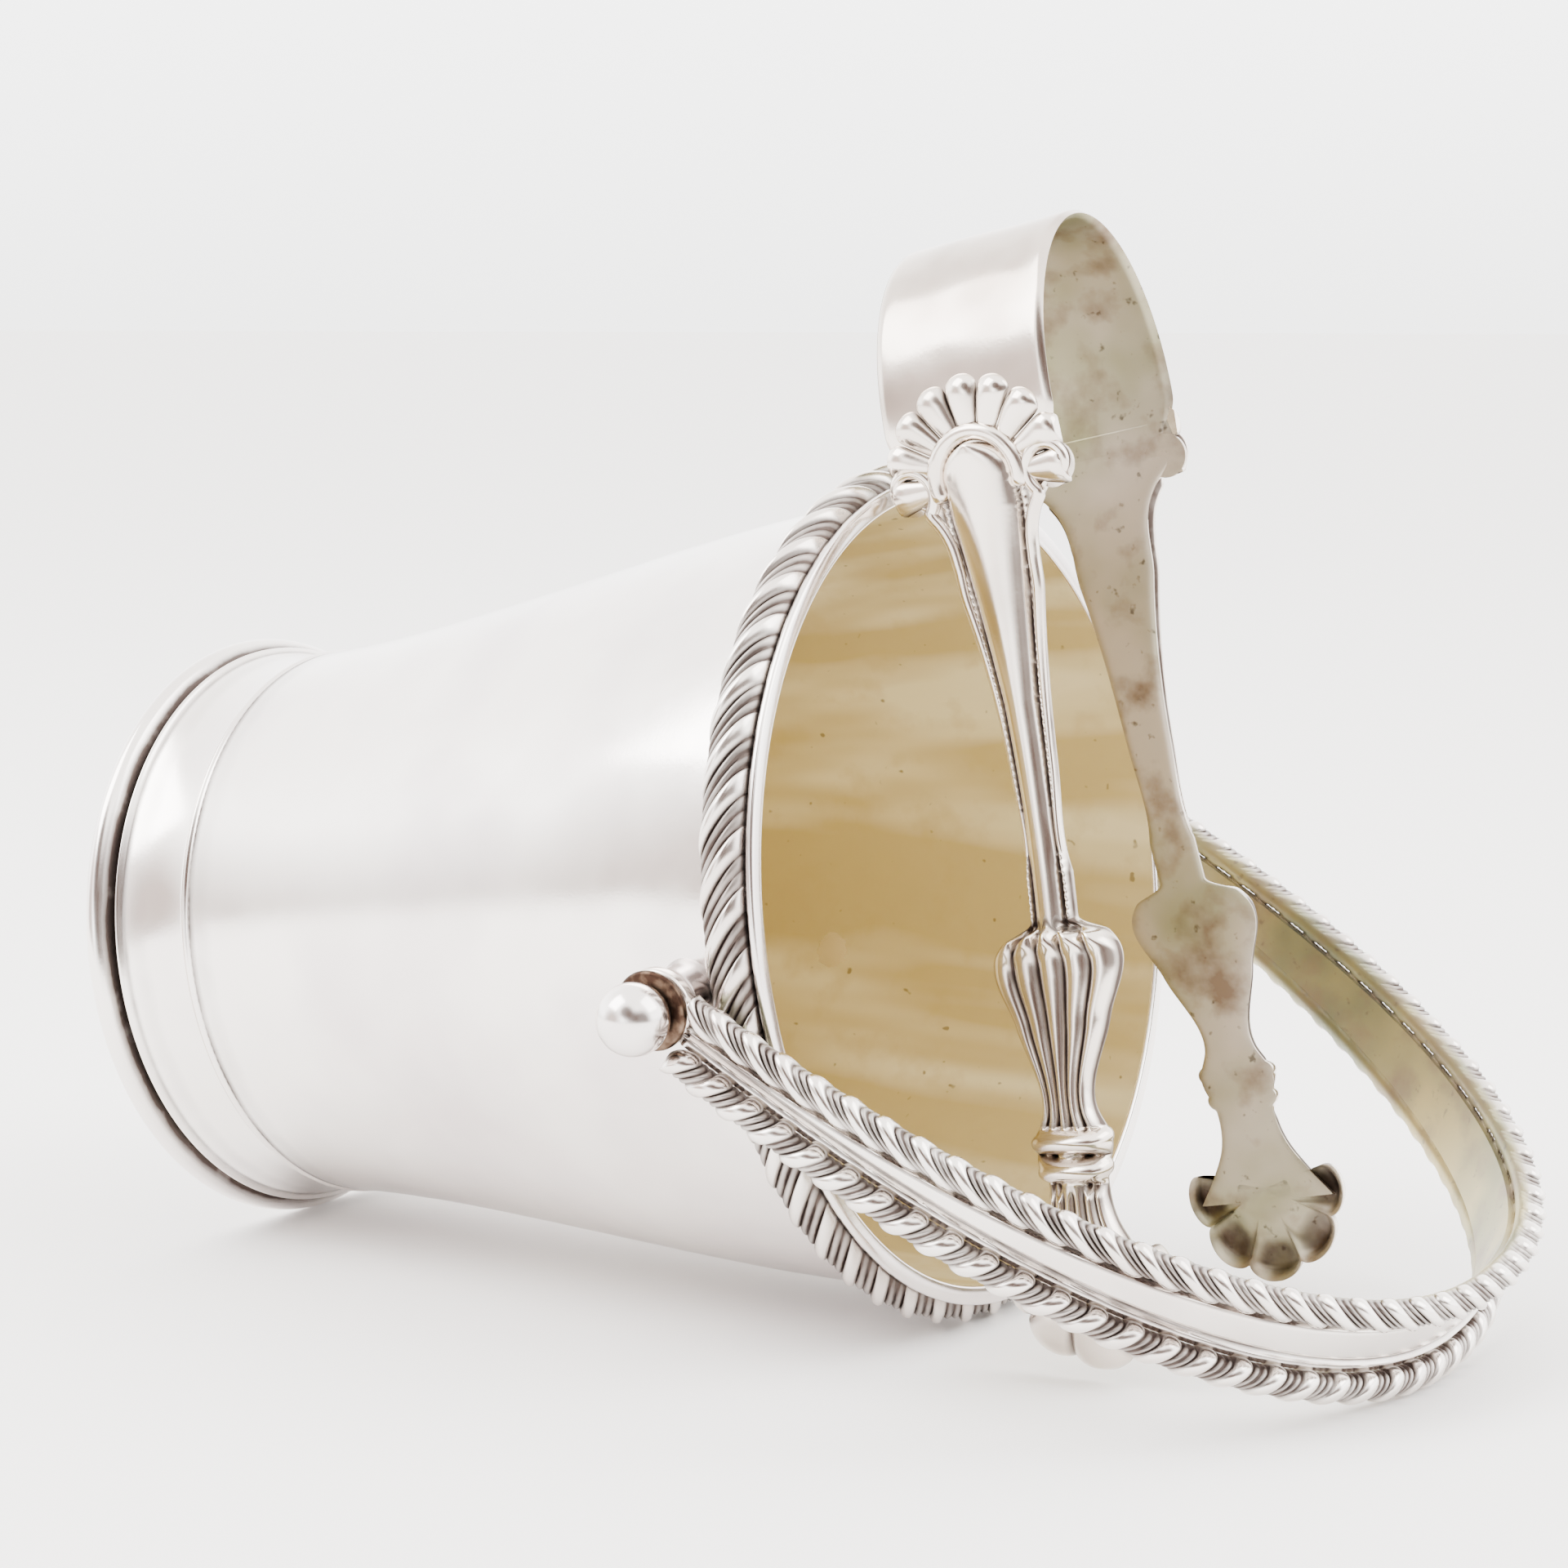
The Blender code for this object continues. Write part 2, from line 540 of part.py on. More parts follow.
def main():
    clear_scene()
    collection = make_collection(COLLECTION_NAME)
    materials = {
        "silver": make_material("polished_silver", (0.80, 0.78, 0.76), 0.16),
        "gilt": make_material("gilt_silver", (0.76, 0.62, 0.30), 0.28),
        "tarnished": make_material("tarnished_silver", (0.10, 0.08, 0.07), 0.45),
    }
    root = add_empty("set_frame", collection, None)
    pail = add_empty("pail_frame", collection, root, rotation=(0, math.pi / 2 - CONTACT_RISE, PAIL_ROLL), mode="ZYX")

    build_body(collection, pail, materials)
    build_base(collection, pail, materials)
    build_foot(collection, pail, materials)
    build_rim(collection, pail, materials)
    for side, name in ((-1, "near"), (1, "far")):
        build_pivot(side, name, collection, pail, materials)

    hinge = add_empty("handle_hinge", collection, pail, (0, 0, PIVOT_HEIGHT), (0, rest_swing(), 0))
    build_handle(collection, hinge, materials)
    for side, name in ((-1, "near"), (1, "far")):
        build_eye(side, name, collection, hinge, materials)

    mouth_ahead = PAIL_HEIGHT * math.cos(CONTACT_RISE)
    lean = tongs_lean()
    foot_of_tongs = (mouth_ahead + tongs_ahead(), TONGS_ASIDE, tongs_raise(lean) - SURFACE_DROP)
    stand = add_empty("tongs_stand", collection, root, foot_of_tongs, (0, -lean, 0))
    build_crown(collection, stand, materials)
    for side, name in ((-1, "near"), (1, "far")):
        y, z = bow_point(CROWN_HALF_ANGLE)
        origin = (0.0, side * float(y), float(z) - LEAF_THICKNESS / 2)
        arm_hinge = add_empty("tongs_" + name + "_hinge", collection, stand, origin)
        build_leaf(side, "tongs_" + name + "_leaf", collection, arm_hinge, origin, materials)
        build_arm(side, "tongs_" + name + "_arm", collection, arm_hinge, origin, materials)

    stand_on_origin(root, collection)


main()
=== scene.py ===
import json
import math

import bmesh
import bpy
import numpy as np
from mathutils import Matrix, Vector


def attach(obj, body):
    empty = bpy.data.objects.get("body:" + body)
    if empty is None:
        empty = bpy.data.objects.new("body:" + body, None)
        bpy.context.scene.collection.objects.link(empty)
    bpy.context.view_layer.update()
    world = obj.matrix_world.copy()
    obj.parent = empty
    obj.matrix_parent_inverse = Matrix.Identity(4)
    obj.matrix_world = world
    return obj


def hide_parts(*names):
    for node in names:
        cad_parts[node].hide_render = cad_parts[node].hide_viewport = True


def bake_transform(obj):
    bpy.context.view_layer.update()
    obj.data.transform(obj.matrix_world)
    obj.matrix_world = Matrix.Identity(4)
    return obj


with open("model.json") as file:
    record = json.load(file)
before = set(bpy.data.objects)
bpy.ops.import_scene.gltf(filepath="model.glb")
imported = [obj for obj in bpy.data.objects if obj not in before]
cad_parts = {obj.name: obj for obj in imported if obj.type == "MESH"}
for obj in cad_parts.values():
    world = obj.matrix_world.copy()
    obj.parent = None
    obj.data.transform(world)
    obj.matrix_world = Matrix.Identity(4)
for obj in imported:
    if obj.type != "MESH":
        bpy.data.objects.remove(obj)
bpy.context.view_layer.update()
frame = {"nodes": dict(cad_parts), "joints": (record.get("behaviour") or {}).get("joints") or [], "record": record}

# A silver ice pail lying on its side, with its swing handle and a pair of ice tongs standing in its mouth.
# Lengths are in metres; the sizes below are written in millimetres.
MM = 0.001

# pail
MOUTH_RADIUS = 55.0 * MM
PAIL_HEIGHT = 127.0 * MM
WAIST_RADIUS = 41.8 * MM
FOOT_HEIGHT = 18.5 * MM
WALL = 1.0 * MM
LIP_WIDTH = 2.6 * MM
LIP_HEIGHT = 1.3 * MM
BORDER_BOTTOM = 119.0 * MM
BORDER_TOP = 125.6 * MM
BORDER_INNER = 56.3 * MM
BORDER_PROUD = 4.0 * MM
BORDER_UNITS = 47
FOOT_RADIUS = 45.0 * MM
FOOT_COVE_RADIUS = 41.4 * MM
EDGE_HEIGHT = 3.9 * MM
EDGE_WIDTH = 3.4 * MM
FOOT_WALL = 1.5 * MM
FOOT_FLARE = 1.9 * MM           # how far the cove spreads
FOOT_TOP_FLARE = 0.4 * MM
BODY_SHEET = 0.7                # share of the wall that is the outer skin; the gilt lining is the rest
BASE_CORNER = 3.0 * MM          # round inside corner of the gilt base
BASE_ABOVE_FOOT = 1.5 * MM
KNOCKS = (                      # turn round the body, share of its height, depth and size (mm)
    (4.1, 0.62, 0.30, 7),
    (3.75, 0.35, 0.22, 6),
    (4.6, 0.8, 0.2, 5),
    (1.2, 0.5, 0.3, 8),
)

# pivots, measured outwards along the hinge line
PIVOT_HEIGHT = 114.1 * MM
BOSS_RADIUS = 4.6 * MM
EYE_INNER = 61.3 * MM
EYE_RADIUS = 5.2 * MM
EYE_THICKNESS = 2.0 * MM
WASHER_INNER = 63.6 * MM
WASHER_RADIUS = 5.3 * MM
WASHER_THICKNESS = 1.1 * MM
BALL_CENTRE = 68.4 * MM
BALL_RADIUS = 4.8 * MM
BALL_FLAT = 3.4 * MM
BALL_INSET = 0.04 * MM          # keeps the smooth ball inside its faceted solid
DISC_EDGE = 0.6 * MM            # rounding of washers and eyes

# handle
HANDLE_REACH = 97.0 * MM
HANDLE_HALF_SPAN = 62.3 * MM
HANDLE_SQUARENESS = 2.25
STRAP_THICKNESS = 1.4 * MM
BORDER_WIRE_RADIUS = 2.5 * MM
BORDER_WIRE_INSET = 0.22 * MM   # keeps the round wire inside its faceted solid
HANDLE_UNITS = 52
HANDLE_LENGTH = 264.0 * MM     # along the arch, about, hinge to hinge

# tongs
TONGS_LENGTH = 153.0 * MM
BOW_HALF_SPREAD = 18.0 * MM
BOW_DEPTH = 25.0 * MM
LEAF_HALF_WIDTH = 13.0 * MM
LEAF_THICKNESS = 1.2 * MM
CROWN_HALF_ANGLE = math.radians(30.0)
PANEL_TOP = 0.222               # share of the length, from the crown, where the domed panel springs
FAN_TOP = 0.615
CLAW_CENTRE = 0.912
ARM_START, ARM_END = 0.190, 0.925
NECK_RINGS = (                  # share of the length, half width and relief (mm)
    (0.799, 5.9, 4.4),
    (0.824, 5.4, 4.0),
)
SHELL_LOBES = 9
SHELL_HALF_TURN = 104           # degrees either side of the crown
SHELL_START = 6.6 * MM
ROLL_RADIUS = 6.3 * MM
ROLL_HALF_TURN = 112
ROLL_WIRE = 1.25 * MM
VOLUTE_ASIDE = 10.8 * MM
VOLUTE_DISC = 3.1 * MM
CLAW_LOBES = 5
CLAW_HALF_TURN = 105

# Along one arm: share of the length from the crown, half spread, half width, relief (mm).
ARM_STATIONS = (
    (0.150, 18.0, 9.0, 0.3),
    (0.200, 17.6, 12.0, 0.5),
    (0.222, 17.2, 12.6, 0.6),
    (0.245, 16.9, 8.9, 0.8),
    (0.330, 16.5, 5.8, 0.9),
    (0.480, 17.2, 3.4, 0.9),
    (0.570, 18.6, 3.4, 0.9),
    (0.605, 19.4, 5.2, 0.9),
    (0.640, 20.4, 9.4, 1.0),
    (0.700, 22.2, 7.0, 1.0),
    (0.775, 24.6, 3.9, 1.0),
    (0.800, 25.2, 5.6, 1.4),
    (0.838, 26.0, 4.4, 1.2),
    (0.870, 26.8, 5.2, 1.2),
    (0.900, 27.4, 7.8, 1.2),
    (0.930, 27.8, 11.0, 1.0),
    (1.000, 26.6, 11.0, 0.8),
)


# ---------------------------------------------------------------- where things are
def unit(vector):
    return np.asarray(vector, float) / np.linalg.norm(vector)


def axes_at(origin, y, z):
    """A local frame: its origin, and its x, y and z as the rows of a matrix."""
    y, z = unit(y), unit(z)
    return np.asarray(origin, float), np.stack([np.cross(y, z), y, z])


def to_row(local, x, y, z):
    """Points of a local frame, as a grid of points of the row frame."""
    origin, axes = local
    x, y, z = np.broadcast_arrays(x, y, z)
    return origin + np.stack([x, y, z], axis=-1) @ axes


def node_middle(name):
    """Mean of a node's points."""
    mesh = frame["nodes"][name].data
    points = np.empty(len(mesh.vertices) * 3)
    mesh.vertices.foreach_get("co", points)
    return points.reshape(-1, 3).mean(axis=0)


joints = {joint["name"]: joint for joint in frame["joints"]}
hinge_point = np.array(joints["handle_swing"]["pos_m"])
hinge_line = -unit(joints["handle_swing"]["axis"])
pail_axis = -unit(frame["record"]["mounts"][0]["axis"])
pail = axes_at(hinge_point - PIVOT_HEIGHT * pail_axis, hinge_line, pail_axis)

towards_apex = node_middle("handle_strap") - hinge_point
towards_apex = towards_apex - hinge_line * (towards_apex @ hinge_line)
handle = axes_at(hinge_point, hinge_line, towards_apex)

near_squeeze = np.array(joints["tongs_near_squeeze"]["pos_m"])
far_squeeze = np.array(joints["tongs_far_squeeze"]["pos_m"])
squeeze_line = unit(joints["tongs_near_squeeze"]["axis"])
tongs_up = np.cross(squeeze_line, unit(far_squeeze - near_squeeze))
squeeze_height = TONGS_LENGTH - BOW_DEPTH * (1 - math.cos(CROWN_HALF_ANGLE)) - LEAF_THICKNESS / 2
squeeze_middle = (near_squeeze + far_squeeze) / 2
tongs = axes_at(squeeze_middle - squeeze_height * tongs_up, far_squeeze - near_squeeze, tongs_up)


# ---------------------------------------------------------------- building meshes
def grid_faces(rows, columns, wrap_rows, wrap_columns):
    """Four-cornered faces over a grid of points, joined round in a direction that wraps."""
    row = np.arange(rows if wrap_rows else rows - 1)[:, None]
    column = np.arange(columns if wrap_columns else columns - 1)[None, :]
    next_row, next_column = (row + 1) % rows, (column + 1) % columns
    corners = (row * columns + column, row * columns + next_column,
               next_row * columns + next_column, next_row * columns + column)
    return np.stack(corners, axis=-1).reshape(-1, 4)


def add_piece(name, patches, material, body, nodes=(), sharp=50.0):
    """One object from grids of points. A patch is (points, wraps, shade, back): shade is how much painted shade
    a point gets, in hollows, creases, undersides and joins, where in the hollows it also stands for sulphide, and
    back how far it is on the unpolished side, both 0 to 1."""
    points, faces, shades_and_sulphide, backs, start = [], [], [], [], 0
    for grid, wraps, shade_and_sulphide, back in patches:
        rows, columns = grid.shape[:2]
        points.append(grid.reshape(-1, 3))
        faces.append(grid_faces(rows, columns, *wraps) + start)
        shades_and_sulphide.append(np.broadcast_to(shade_and_sulphide, (rows, columns)).ravel())
        backs.append(np.broadcast_to(back, (rows, columns)).ravel())
        start += rows * columns
    mesh = bpy.data.meshes.new(name)
    mesh.from_pydata(np.concatenate(points).tolist(), [], np.concatenate(faces).tolist())
    for label, values in (("shade_and_sulphide", shades_and_sulphide), ("back", backs)):
        attribute = mesh.attributes.new(label, "FLOAT", "POINT")
        attribute.data.foreach_set("value", np.clip(np.concatenate(values), 0, 1).astype(np.float32))
    shape = bmesh.new()
    shape.from_mesh(mesh)
    bmesh.ops.remove_doubles(shape, verts=shape.verts, dist=0.002 * MM)
    bmesh.ops.dissolve_degenerate(shape, edges=shape.edges, dist=0.0005 * MM)
    bmesh.ops.recalc_face_normals(shape, faces=shape.faces)
    shape.to_mesh(mesh)
    shape.free()
    mesh.shade_smooth()
    mesh.set_sharp_from_angle(angle=math.radians(sharp))
    mesh.materials.append(material)
    item = bpy.data.objects.new(name, mesh)
    bpy.context.scene.collection.objects.link(item)
    if isinstance(body, str):
        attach(item, body)
    if nodes:
        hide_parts(*nodes)
    return item


def through(share, column):
    """Smooth curve through one column of ARM_STATIONS, with the slope at each station taken from its
    neighbours."""
    x = np.array([row[0] for row in ARM_STATIONS])
    y = np.array([row[column] for row in ARM_STATIONS]) * MM
    slope = np.gradient(y, x)
    i = np.clip(np.searchsorted(x, share, side="right") - 1, 0, len(x) - 2)
    step = x[i + 1] - x[i]
    t = np.clip((share - x[i]) / step, 0.0, 1.0)
    rise = (t - 2 * t**2 + t**3) * step * slope[i] + (t**3 - t**2) * step * slope[i + 1]
    return y[i] * (1 - 3 * t**2 + 2 * t**3) + y[i + 1] * (3 * t**2 - 2 * t**3) + rise


def bump(x, centre, width):
    """A smooth hill, 1 at its centre: exp(-((x - centre) / width)^2)."""
    return np.exp(-((x - centre) / width) ** 2)


def step_up(x, start, end):
    """A smooth step from 0 at the start to 1 at the end: 3t^2 - 2t^3."""
    t = np.clip((x - start) / (end - start), 0.0, 1.0)
    return t * t * (3 - 2 * t)


def turned(local, radius, height, steps):
    """A profile of radius and height carried round the local z axis, profile along the rows."""
    turn = np.linspace(0, 2 * math.pi, steps, endpoint=False)
    return to_row(local, radius[:, None] * np.cos(turn), radius[:, None] * np.sin(turn), height[:, None])


def gadroon(phase, flutes=2, lobe=0.46):
    """Height, 0 to 1, along a gadrooned border: in every unit a broad half-round lobe, then a few fine low
    flutes."""
    p = np.mod(phase, 1.0)
    broad = np.sqrt(np.clip(1 - (2 * p / lobe - 1) ** 2, 0, 1))
    fine = 0.42 * np.abs(np.sin(math.pi * flutes * np.clip((p - lobe) / (1 - lobe), 0, 1))) ** 0.8
    return np.where(p < lobe, broad, fine)


def gadroon_shade(lobes):
    """Painted shade between the lobes, where sulphide also lies, and, less, over the low flutes beside them."""
    return np.clip(1.12 - 1.3 * lobes, 0, 1)


# ---------------------------------------------------------------- finishes
def linear(code, alpha=1.0):
    """An sRGB hex colour as linear red, green, blue and alpha."""
    values = np.array([int(code[i:i + 2], 16) for i in (1, 3, 5)]) / 255
    values = np.where(values <= 0.04045, values / 12.92, ((values + 0.055) / 1.055) ** 2.4)
    return (*values.tolist(), alpha)


def add(tree, kind, inputs, **settings):
    """Adds a node. Each input is a value, or the output that is linked to it."""
    node = tree.nodes.new("ShaderNode" + kind)
    for key, value in settings.items():
        setattr(node, key, value)
    for key, value in inputs.items():
        if isinstance(value, bpy.types.NodeSocket):
            tree.links.new(value, node.inputs[key])
        else:
            node.inputs[key].default_value = value
    return node


def new_material(name):
    """A material, its node tree and its surface shader."""
    material = bpy.data.materials.new(name)
    material.use_nodes = True
    tree = material.node_tree
    return material, tree, tree.nodes["Principled BSDF"]


def mixed(tree, share, first, second):
    """One colour over another, by a share from 0 to 1."""
    node = add(tree, "Mix", {0: share, 6: first, 7: second}, data_type="RGBA")
    return node.outputs[2]


def ranged(tree, value, low, high, to_low, to_high):
    """A value's range turned to another one."""
    inputs = {"Value": value, "From Min": low, "From Max": high, "To Min": to_low, "To Max": to_high}
    return add(tree, "MapRange", inputs).outputs["Result"]


def noise(tree, place, size, detail=3.0, stretch=(1, 1, 1)):
    """Cloudy pattern whose blobs are about size across, in metres, drawn out by stretch."""
    mapping = add(tree, "Mapping", {"Vector": place, "Scale": tuple(1 / (size * s) for s in stretch)})
    return add(tree, "TexNoise", {"Vector": mapping.outputs[0], "Scale": 1.0, "Detail": detail}).outputs["Fac"]


def worn_silver(name, bright, veil, polish, back_light="#BDB2A4", back_dark="#8F8C6C"):
    """Sterling silver raised from sheet or cast, polished by hand for generations: white and mirror-like,
    with a faint lilac-brown veil of tarnish in clouds, hair scratches that soften the shine, and dark brown
    painted shade in the hollows, creases and undersides, standing also for the black sulphide left in the
    hollows that a cloth can't reach. The unpolished backs are dull, stained brown and green."""
    material, tree, shader = new_material(name)
    place = add(tree, "TexCoord", {}).outputs["Object"]
    shade_and_sulphide = add(tree, "Attribute", {}, attribute_name="shade_and_sulphide").outputs["Fac"]
    back = add(tree, "Attribute", {}, attribute_name="back").outputs["Fac"]
    clouds = noise(tree, place, 26 * MM)
    mottle = noise(tree, place, 7 * MM, 4.0)
    specks = noise(tree, place, 1.6 * MM, 2.0)
    scratches = noise(tree, place, 0.5 * MM, 2.0, stretch=(1, 18, 1))

    colour = mixed(tree, ranged(tree, clouds, 0.42, 0.72, 0.0, 0.75), linear(bright), linear(veil))
    stain = mixed(tree, ranged(tree, clouds, 0.4, 0.62, 0.0, 1.0), linear(back_light), linear(back_dark))
    stain = mixed(tree, ranged(tree, mottle, 0.5, 0.72, 0.0, 0.8), stain, linear("#6B5340"))
    stain = mixed(tree, ranged(tree, specks, 0.66, 0.76, 0.0, 0.7), stain, linear("#2E241C"))
    colour = mixed(tree, back, colour, stain)
    # Painted shade: dark brown laid over the hollows, creases, undersides and joins, by the shade share each piece
    # carries; in the hollows it stands also for sulphide.
    hollow = add(tree, "Math", {0: shade_and_sulphide, 1: ranged(tree, mottle, 0.3, 0.7, 0.75, 1.15)}, operation="MULTIPLY")
    hollow = ranged(tree, hollow.outputs[0], 0.12, 0.85, 0.0, 0.94)
    colour = mixed(tree, hollow, colour, linear("#35251F"))

    rough = ranged(tree, mottle, 0.3, 0.75, polish, polish + 0.09)
    rough = add(tree, "MixRGB", {0: back, 1: rough, 2: (0.46,) * 3 + (1,)}).outputs[0]
    rough = add(tree, "MixRGB", {0: hollow, 1: rough, 2: (0.5,) * 3 + (1,)}).outputs[0]
    relief = add(tree, "Math", {0: scratches, 1: 0.35}, operation="MULTIPLY").outputs[0]
    relief = add(tree, "Math", {0: relief, 1: mottle}, operation="ADD").outputs[0]
    dull = add(tree, "Bump", {"Strength": 0.12, "Distance": 0.12 * MM, "Height": relief}).outputs[0]

    tree.links.new(colour, shader.inputs["Base Color"])
    tree.links.new(rough, shader.inputs["Roughness"])
    tree.links.new(dull, shader.inputs["Normal"])
    shader.inputs["Metallic"].default_value = 1.0
    return material


def worn_gilding():
    """Mercury gilding inside the pail, worn thin: an olive-gold satin with soft bands of painted highlight,
    and spots where the silver underneath has bled through."""
    material, tree, shader = new_material("worn_gilding")
    place = add(tree, "TexCoord", {}).outputs["Object"]
    back = add(tree, "Attribute", {}, attribute_name="back").outputs["Fac"]
    clouds = noise(tree, place, 11 * MM, 2.0, stretch=(9, 1, 1))
    mottle = noise(tree, place, 6 * MM, 5.0)
    specks = noise(tree, place, 1.9 * MM, 1.0)
    # Painted highlight: soft bands of brighter gold, drawn out sideways, over the olive-gold satin.
    colour = mixed(tree, ranged(tree, clouds, 0.38, 0.6, 0.0, 1.0), linear("#F2E8C4"), linear("#CCBA84"))
    colour = mixed(tree, ranged(tree, mottle, 0.52, 0.75, 0.0, 0.5), colour, linear("#C9B47A"))
    colour = mixed(tree, ranged(tree, specks, 0.73, 0.79, 0.0, 0.7), colour, linear("#6E5A34"))
    colour = mixed(tree, back, colour, linear("#CFC6B8"))
    rough = ranged(tree, mottle, 0.3, 0.75, 0.34, 0.48)
    dull = add(tree, "Bump", {"Strength": 0.25, "Distance": 0.1 * MM, "Height": mottle}).outputs[0]
    tree.links.new(colour, shader.inputs["Base Color"])
    tree.links.new(rough, shader.inputs["Roughness"])
    tree.links.new(dull, shader.inputs["Normal"])
    shader.inputs["Metallic"].default_value = 0.62
    return material


def sulphided_silver():
    """Silver left to blacken where the handle turns on its pivots: dark bronze-brown, barely shining, worn
    brighter in patches."""
    material, tree, shader = new_material("sulphided_silver")
    place = add(tree, "TexCoord", {}).outputs["Object"]
    patches = noise(tree, place, 2.5 * MM, 4.0)
    colour = mixed(tree, ranged(tree, patches, 0.4, 0.7, 0.0, 1.0), linear("#3A2A22"), linear("#86715F"))
    tree.links.new(colour, shader.inputs["Base Color"])
    tree.links.new(ranged(tree, patches, 0.3, 0.7, 0.5, 0.3), shader.inputs["Roughness"])
    shader.inputs["Metallic"].default_value = 1.0
    return material


raised_silver = worn_silver("raised_silver", "#F7F1EC", "#DDD3D3", 0.13)
cast_silver = worn_silver("cast_silver", "#F6EFE8", "#CFC1BA", 0.17)
handle_silver = worn_silver("handle_silver", "#F6F0EA", "#D6CAC4", 0.15, "#B3A564", "#5F6A48")
tongs_silver = worn_silver("tongs_silver", "#EFE5DB", "#8F7E72", 0.13)
gilding = worn_gilding()
sulphide = sulphided_silver()


# ---------------------------------------------------------------- pail
def body_radius(height):
    """Outline of the raised body: a cubic from the waist, opening briskly, to the mouth, opening gently."""
    t = (height - FOOT_HEIGHT) / (PAIL_HEIGHT - FOOT_HEIGHT)
    rise = 0.5 * (t - 2 * t**2 + t**3) + 3 * t**2 - 2 * t**3 + 0.3 * (t**3 - t**2)
    return WAIST_RADIUS + (MOUTH_RADIUS + WALL - WAIST_RADIUS) * rise


def dents(turn, height):
    """How far the wall is off its round: slow waves left by raising, and a few shallow knocks, fading at the
    ends."""
    share = (height - FOOT_HEIGHT) / (PAIL_HEIGHT - FOOT_HEIGHT)
    waves = 0.10 * np.sin(3 * turn + 1.3 + 2 * share) + 0.05 * np.sin(7 * turn + 5 * share) * np.cos(9 * share)
    knocks = 0.0
    for angle, level, depth, size in KNOCKS:
        along = (np.mod(turn - angle + math.pi, 2 * math.pi) - math.pi) * WAIST_RADIUS
        away = np.hypot(along, (share - level) * (PAIL_HEIGHT - FOOT_HEIGHT))
        knocks = knocks - depth * np.exp(-(away / (size * MM)) ** 2)
    return (waves + knocks) * MM * np.sin(math.pi * np.clip(share, 0, 1)) ** 0.7


def build_body():
    turn = np.linspace(0, 2 * math.pi, 288, endpoint=False)[None, :]
    height = np.linspace(FOOT_HEIGHT - 0.1 * MM, BORDER_TOP, 90)[:, None]
    outer = body_radius(height) + dents(turn, height)
    radius = np.concatenate([outer, outer[::-1] - BODY_SHEET * WALL])
    level = np.concatenate([height, height[::-1]])
    wall = to_row(pail, radius * np.cos(turn), radius * np.sin(turn), level)
    # Painted shade: dark lines where the body meets the foot and just under the border, and a soft darkening above
    # the foot.
    dark = 0.75 * bump(level, FOOT_HEIGHT, 0.5 * MM) + 0.8 * bump(level, BORDER_BOTTOM - 0.1 * MM, 0.45 * MM)
    dark = dark + 0.25 * bump(level, FOOT_HEIGHT + 2 * MM, 3 * MM)

    reach = np.linspace(0, 1, 40) * (WAIST_RADIUS - 0.6 * WALL)
    rings = 0.05 * MM * np.sin(reach / (0.9 * MM)) * step_up(reach, 0, 6 * MM)
    under = FOOT_HEIGHT + 0.1 * MM + 0.9 * MM * (1 - (reach / WAIST_RADIUS) ** 2) + rings
    above = 0 * reach + FOOT_HEIGHT + 1.2 * MM
    base = turned(pail, np.concatenate([reach, reach[::-1]]), np.concatenate([under, above]), 96)
    # The base underneath gets a little painted shade.
    patches = [(wall, (True, True), dark, 0.0), (base, (False, True), 0.1, 0.25)]
    add_piece("raised_body", patches, raised_silver, "pail", ["pail_body"])


def build_lining():
    """The gilt inside: base, a rounded corner and the wall, and the same line a little further out for its
    back."""
    floor = FOOT_HEIGHT + BASE_ABOVE_FOOT
    flat = body_radius(floor) - WALL - BASE_CORNER
    bend = np.linspace(-math.pi / 2, 0, 12)
    wall_height = np.linspace(floor + BASE_CORNER, PAIL_HEIGHT - 0.5 * LIP_HEIGHT, 80)
    base_radius = flat * np.linspace(0, 1, 24)[:-1] ** 2
    wall_radius = body_radius(wall_height)[1:] - WALL
    radius = np.concatenate([base_radius, flat + BASE_CORNER * np.cos(bend), wall_radius])
    corner_height = floor + BASE_CORNER + BASE_CORNER * np.sin(bend)
    height = np.concatenate([0 * base_radius + floor, corner_height, wall_height[1:]])
    scale = np.clip(radius / (BASE_CORNER * 2), 0, 1)
    back_radius, back_height = radius + 0.25 * MM * scale, height - 0.25 * MM
    line = np.concatenate([radius, back_radius[::-1]]), np.concatenate([height, back_height[::-1]])
    grid = turned(pail, *line, 192)
    grid[-1] = grid[-1].mean(axis=0)
    add_piece("gilt_lining", [(grid, (False, True), 0.0, 0.0)], gilding, "pail", ["pail_base"])


def foot_outline(height):
    """The foot's outside: a fine bead under the body, a cove spreading downwards, a thin ridge, a sharp
    groove, and the half-round edge moulding."""
    share = np.clip((FOOT_HEIGHT - height) / (FOOT_HEIGHT - EDGE_HEIGHT), 0, 1)
    cove = FOOT_COVE_RADIUS + FOOT_FLARE * share ** 3 + FOOT_TOP_FLARE * (1 - share) ** 4
    cove = cove + 0.35 * MM * bump(height, FOOT_HEIGHT - 0.9 * MM, 0.4 * MM)
    cove = cove + 0.6 * MM * bump(height, EDGE_HEIGHT + 1.7 * MM, 0.45 * MM)
    cove = cove - 1.7 * MM * bump(height, EDGE_HEIGHT + 0.3 * MM, 0.55 * MM)
    middle = FOOT_RADIUS - EDGE_WIDTH / 2 - 0.05 * MM
    lift = np.clip(1 - ((height - EDGE_HEIGHT / 2) / (EDGE_HEIGHT / 2)) ** 2, 0, 1)
    edge = middle - 0.9 * MM + (EDGE_WIDTH / 2 + 0.9 * MM) * lift ** 0.5
    return np.where(height > EDGE_HEIGHT, np.minimum(cove, FOOT_RADIUS), edge)


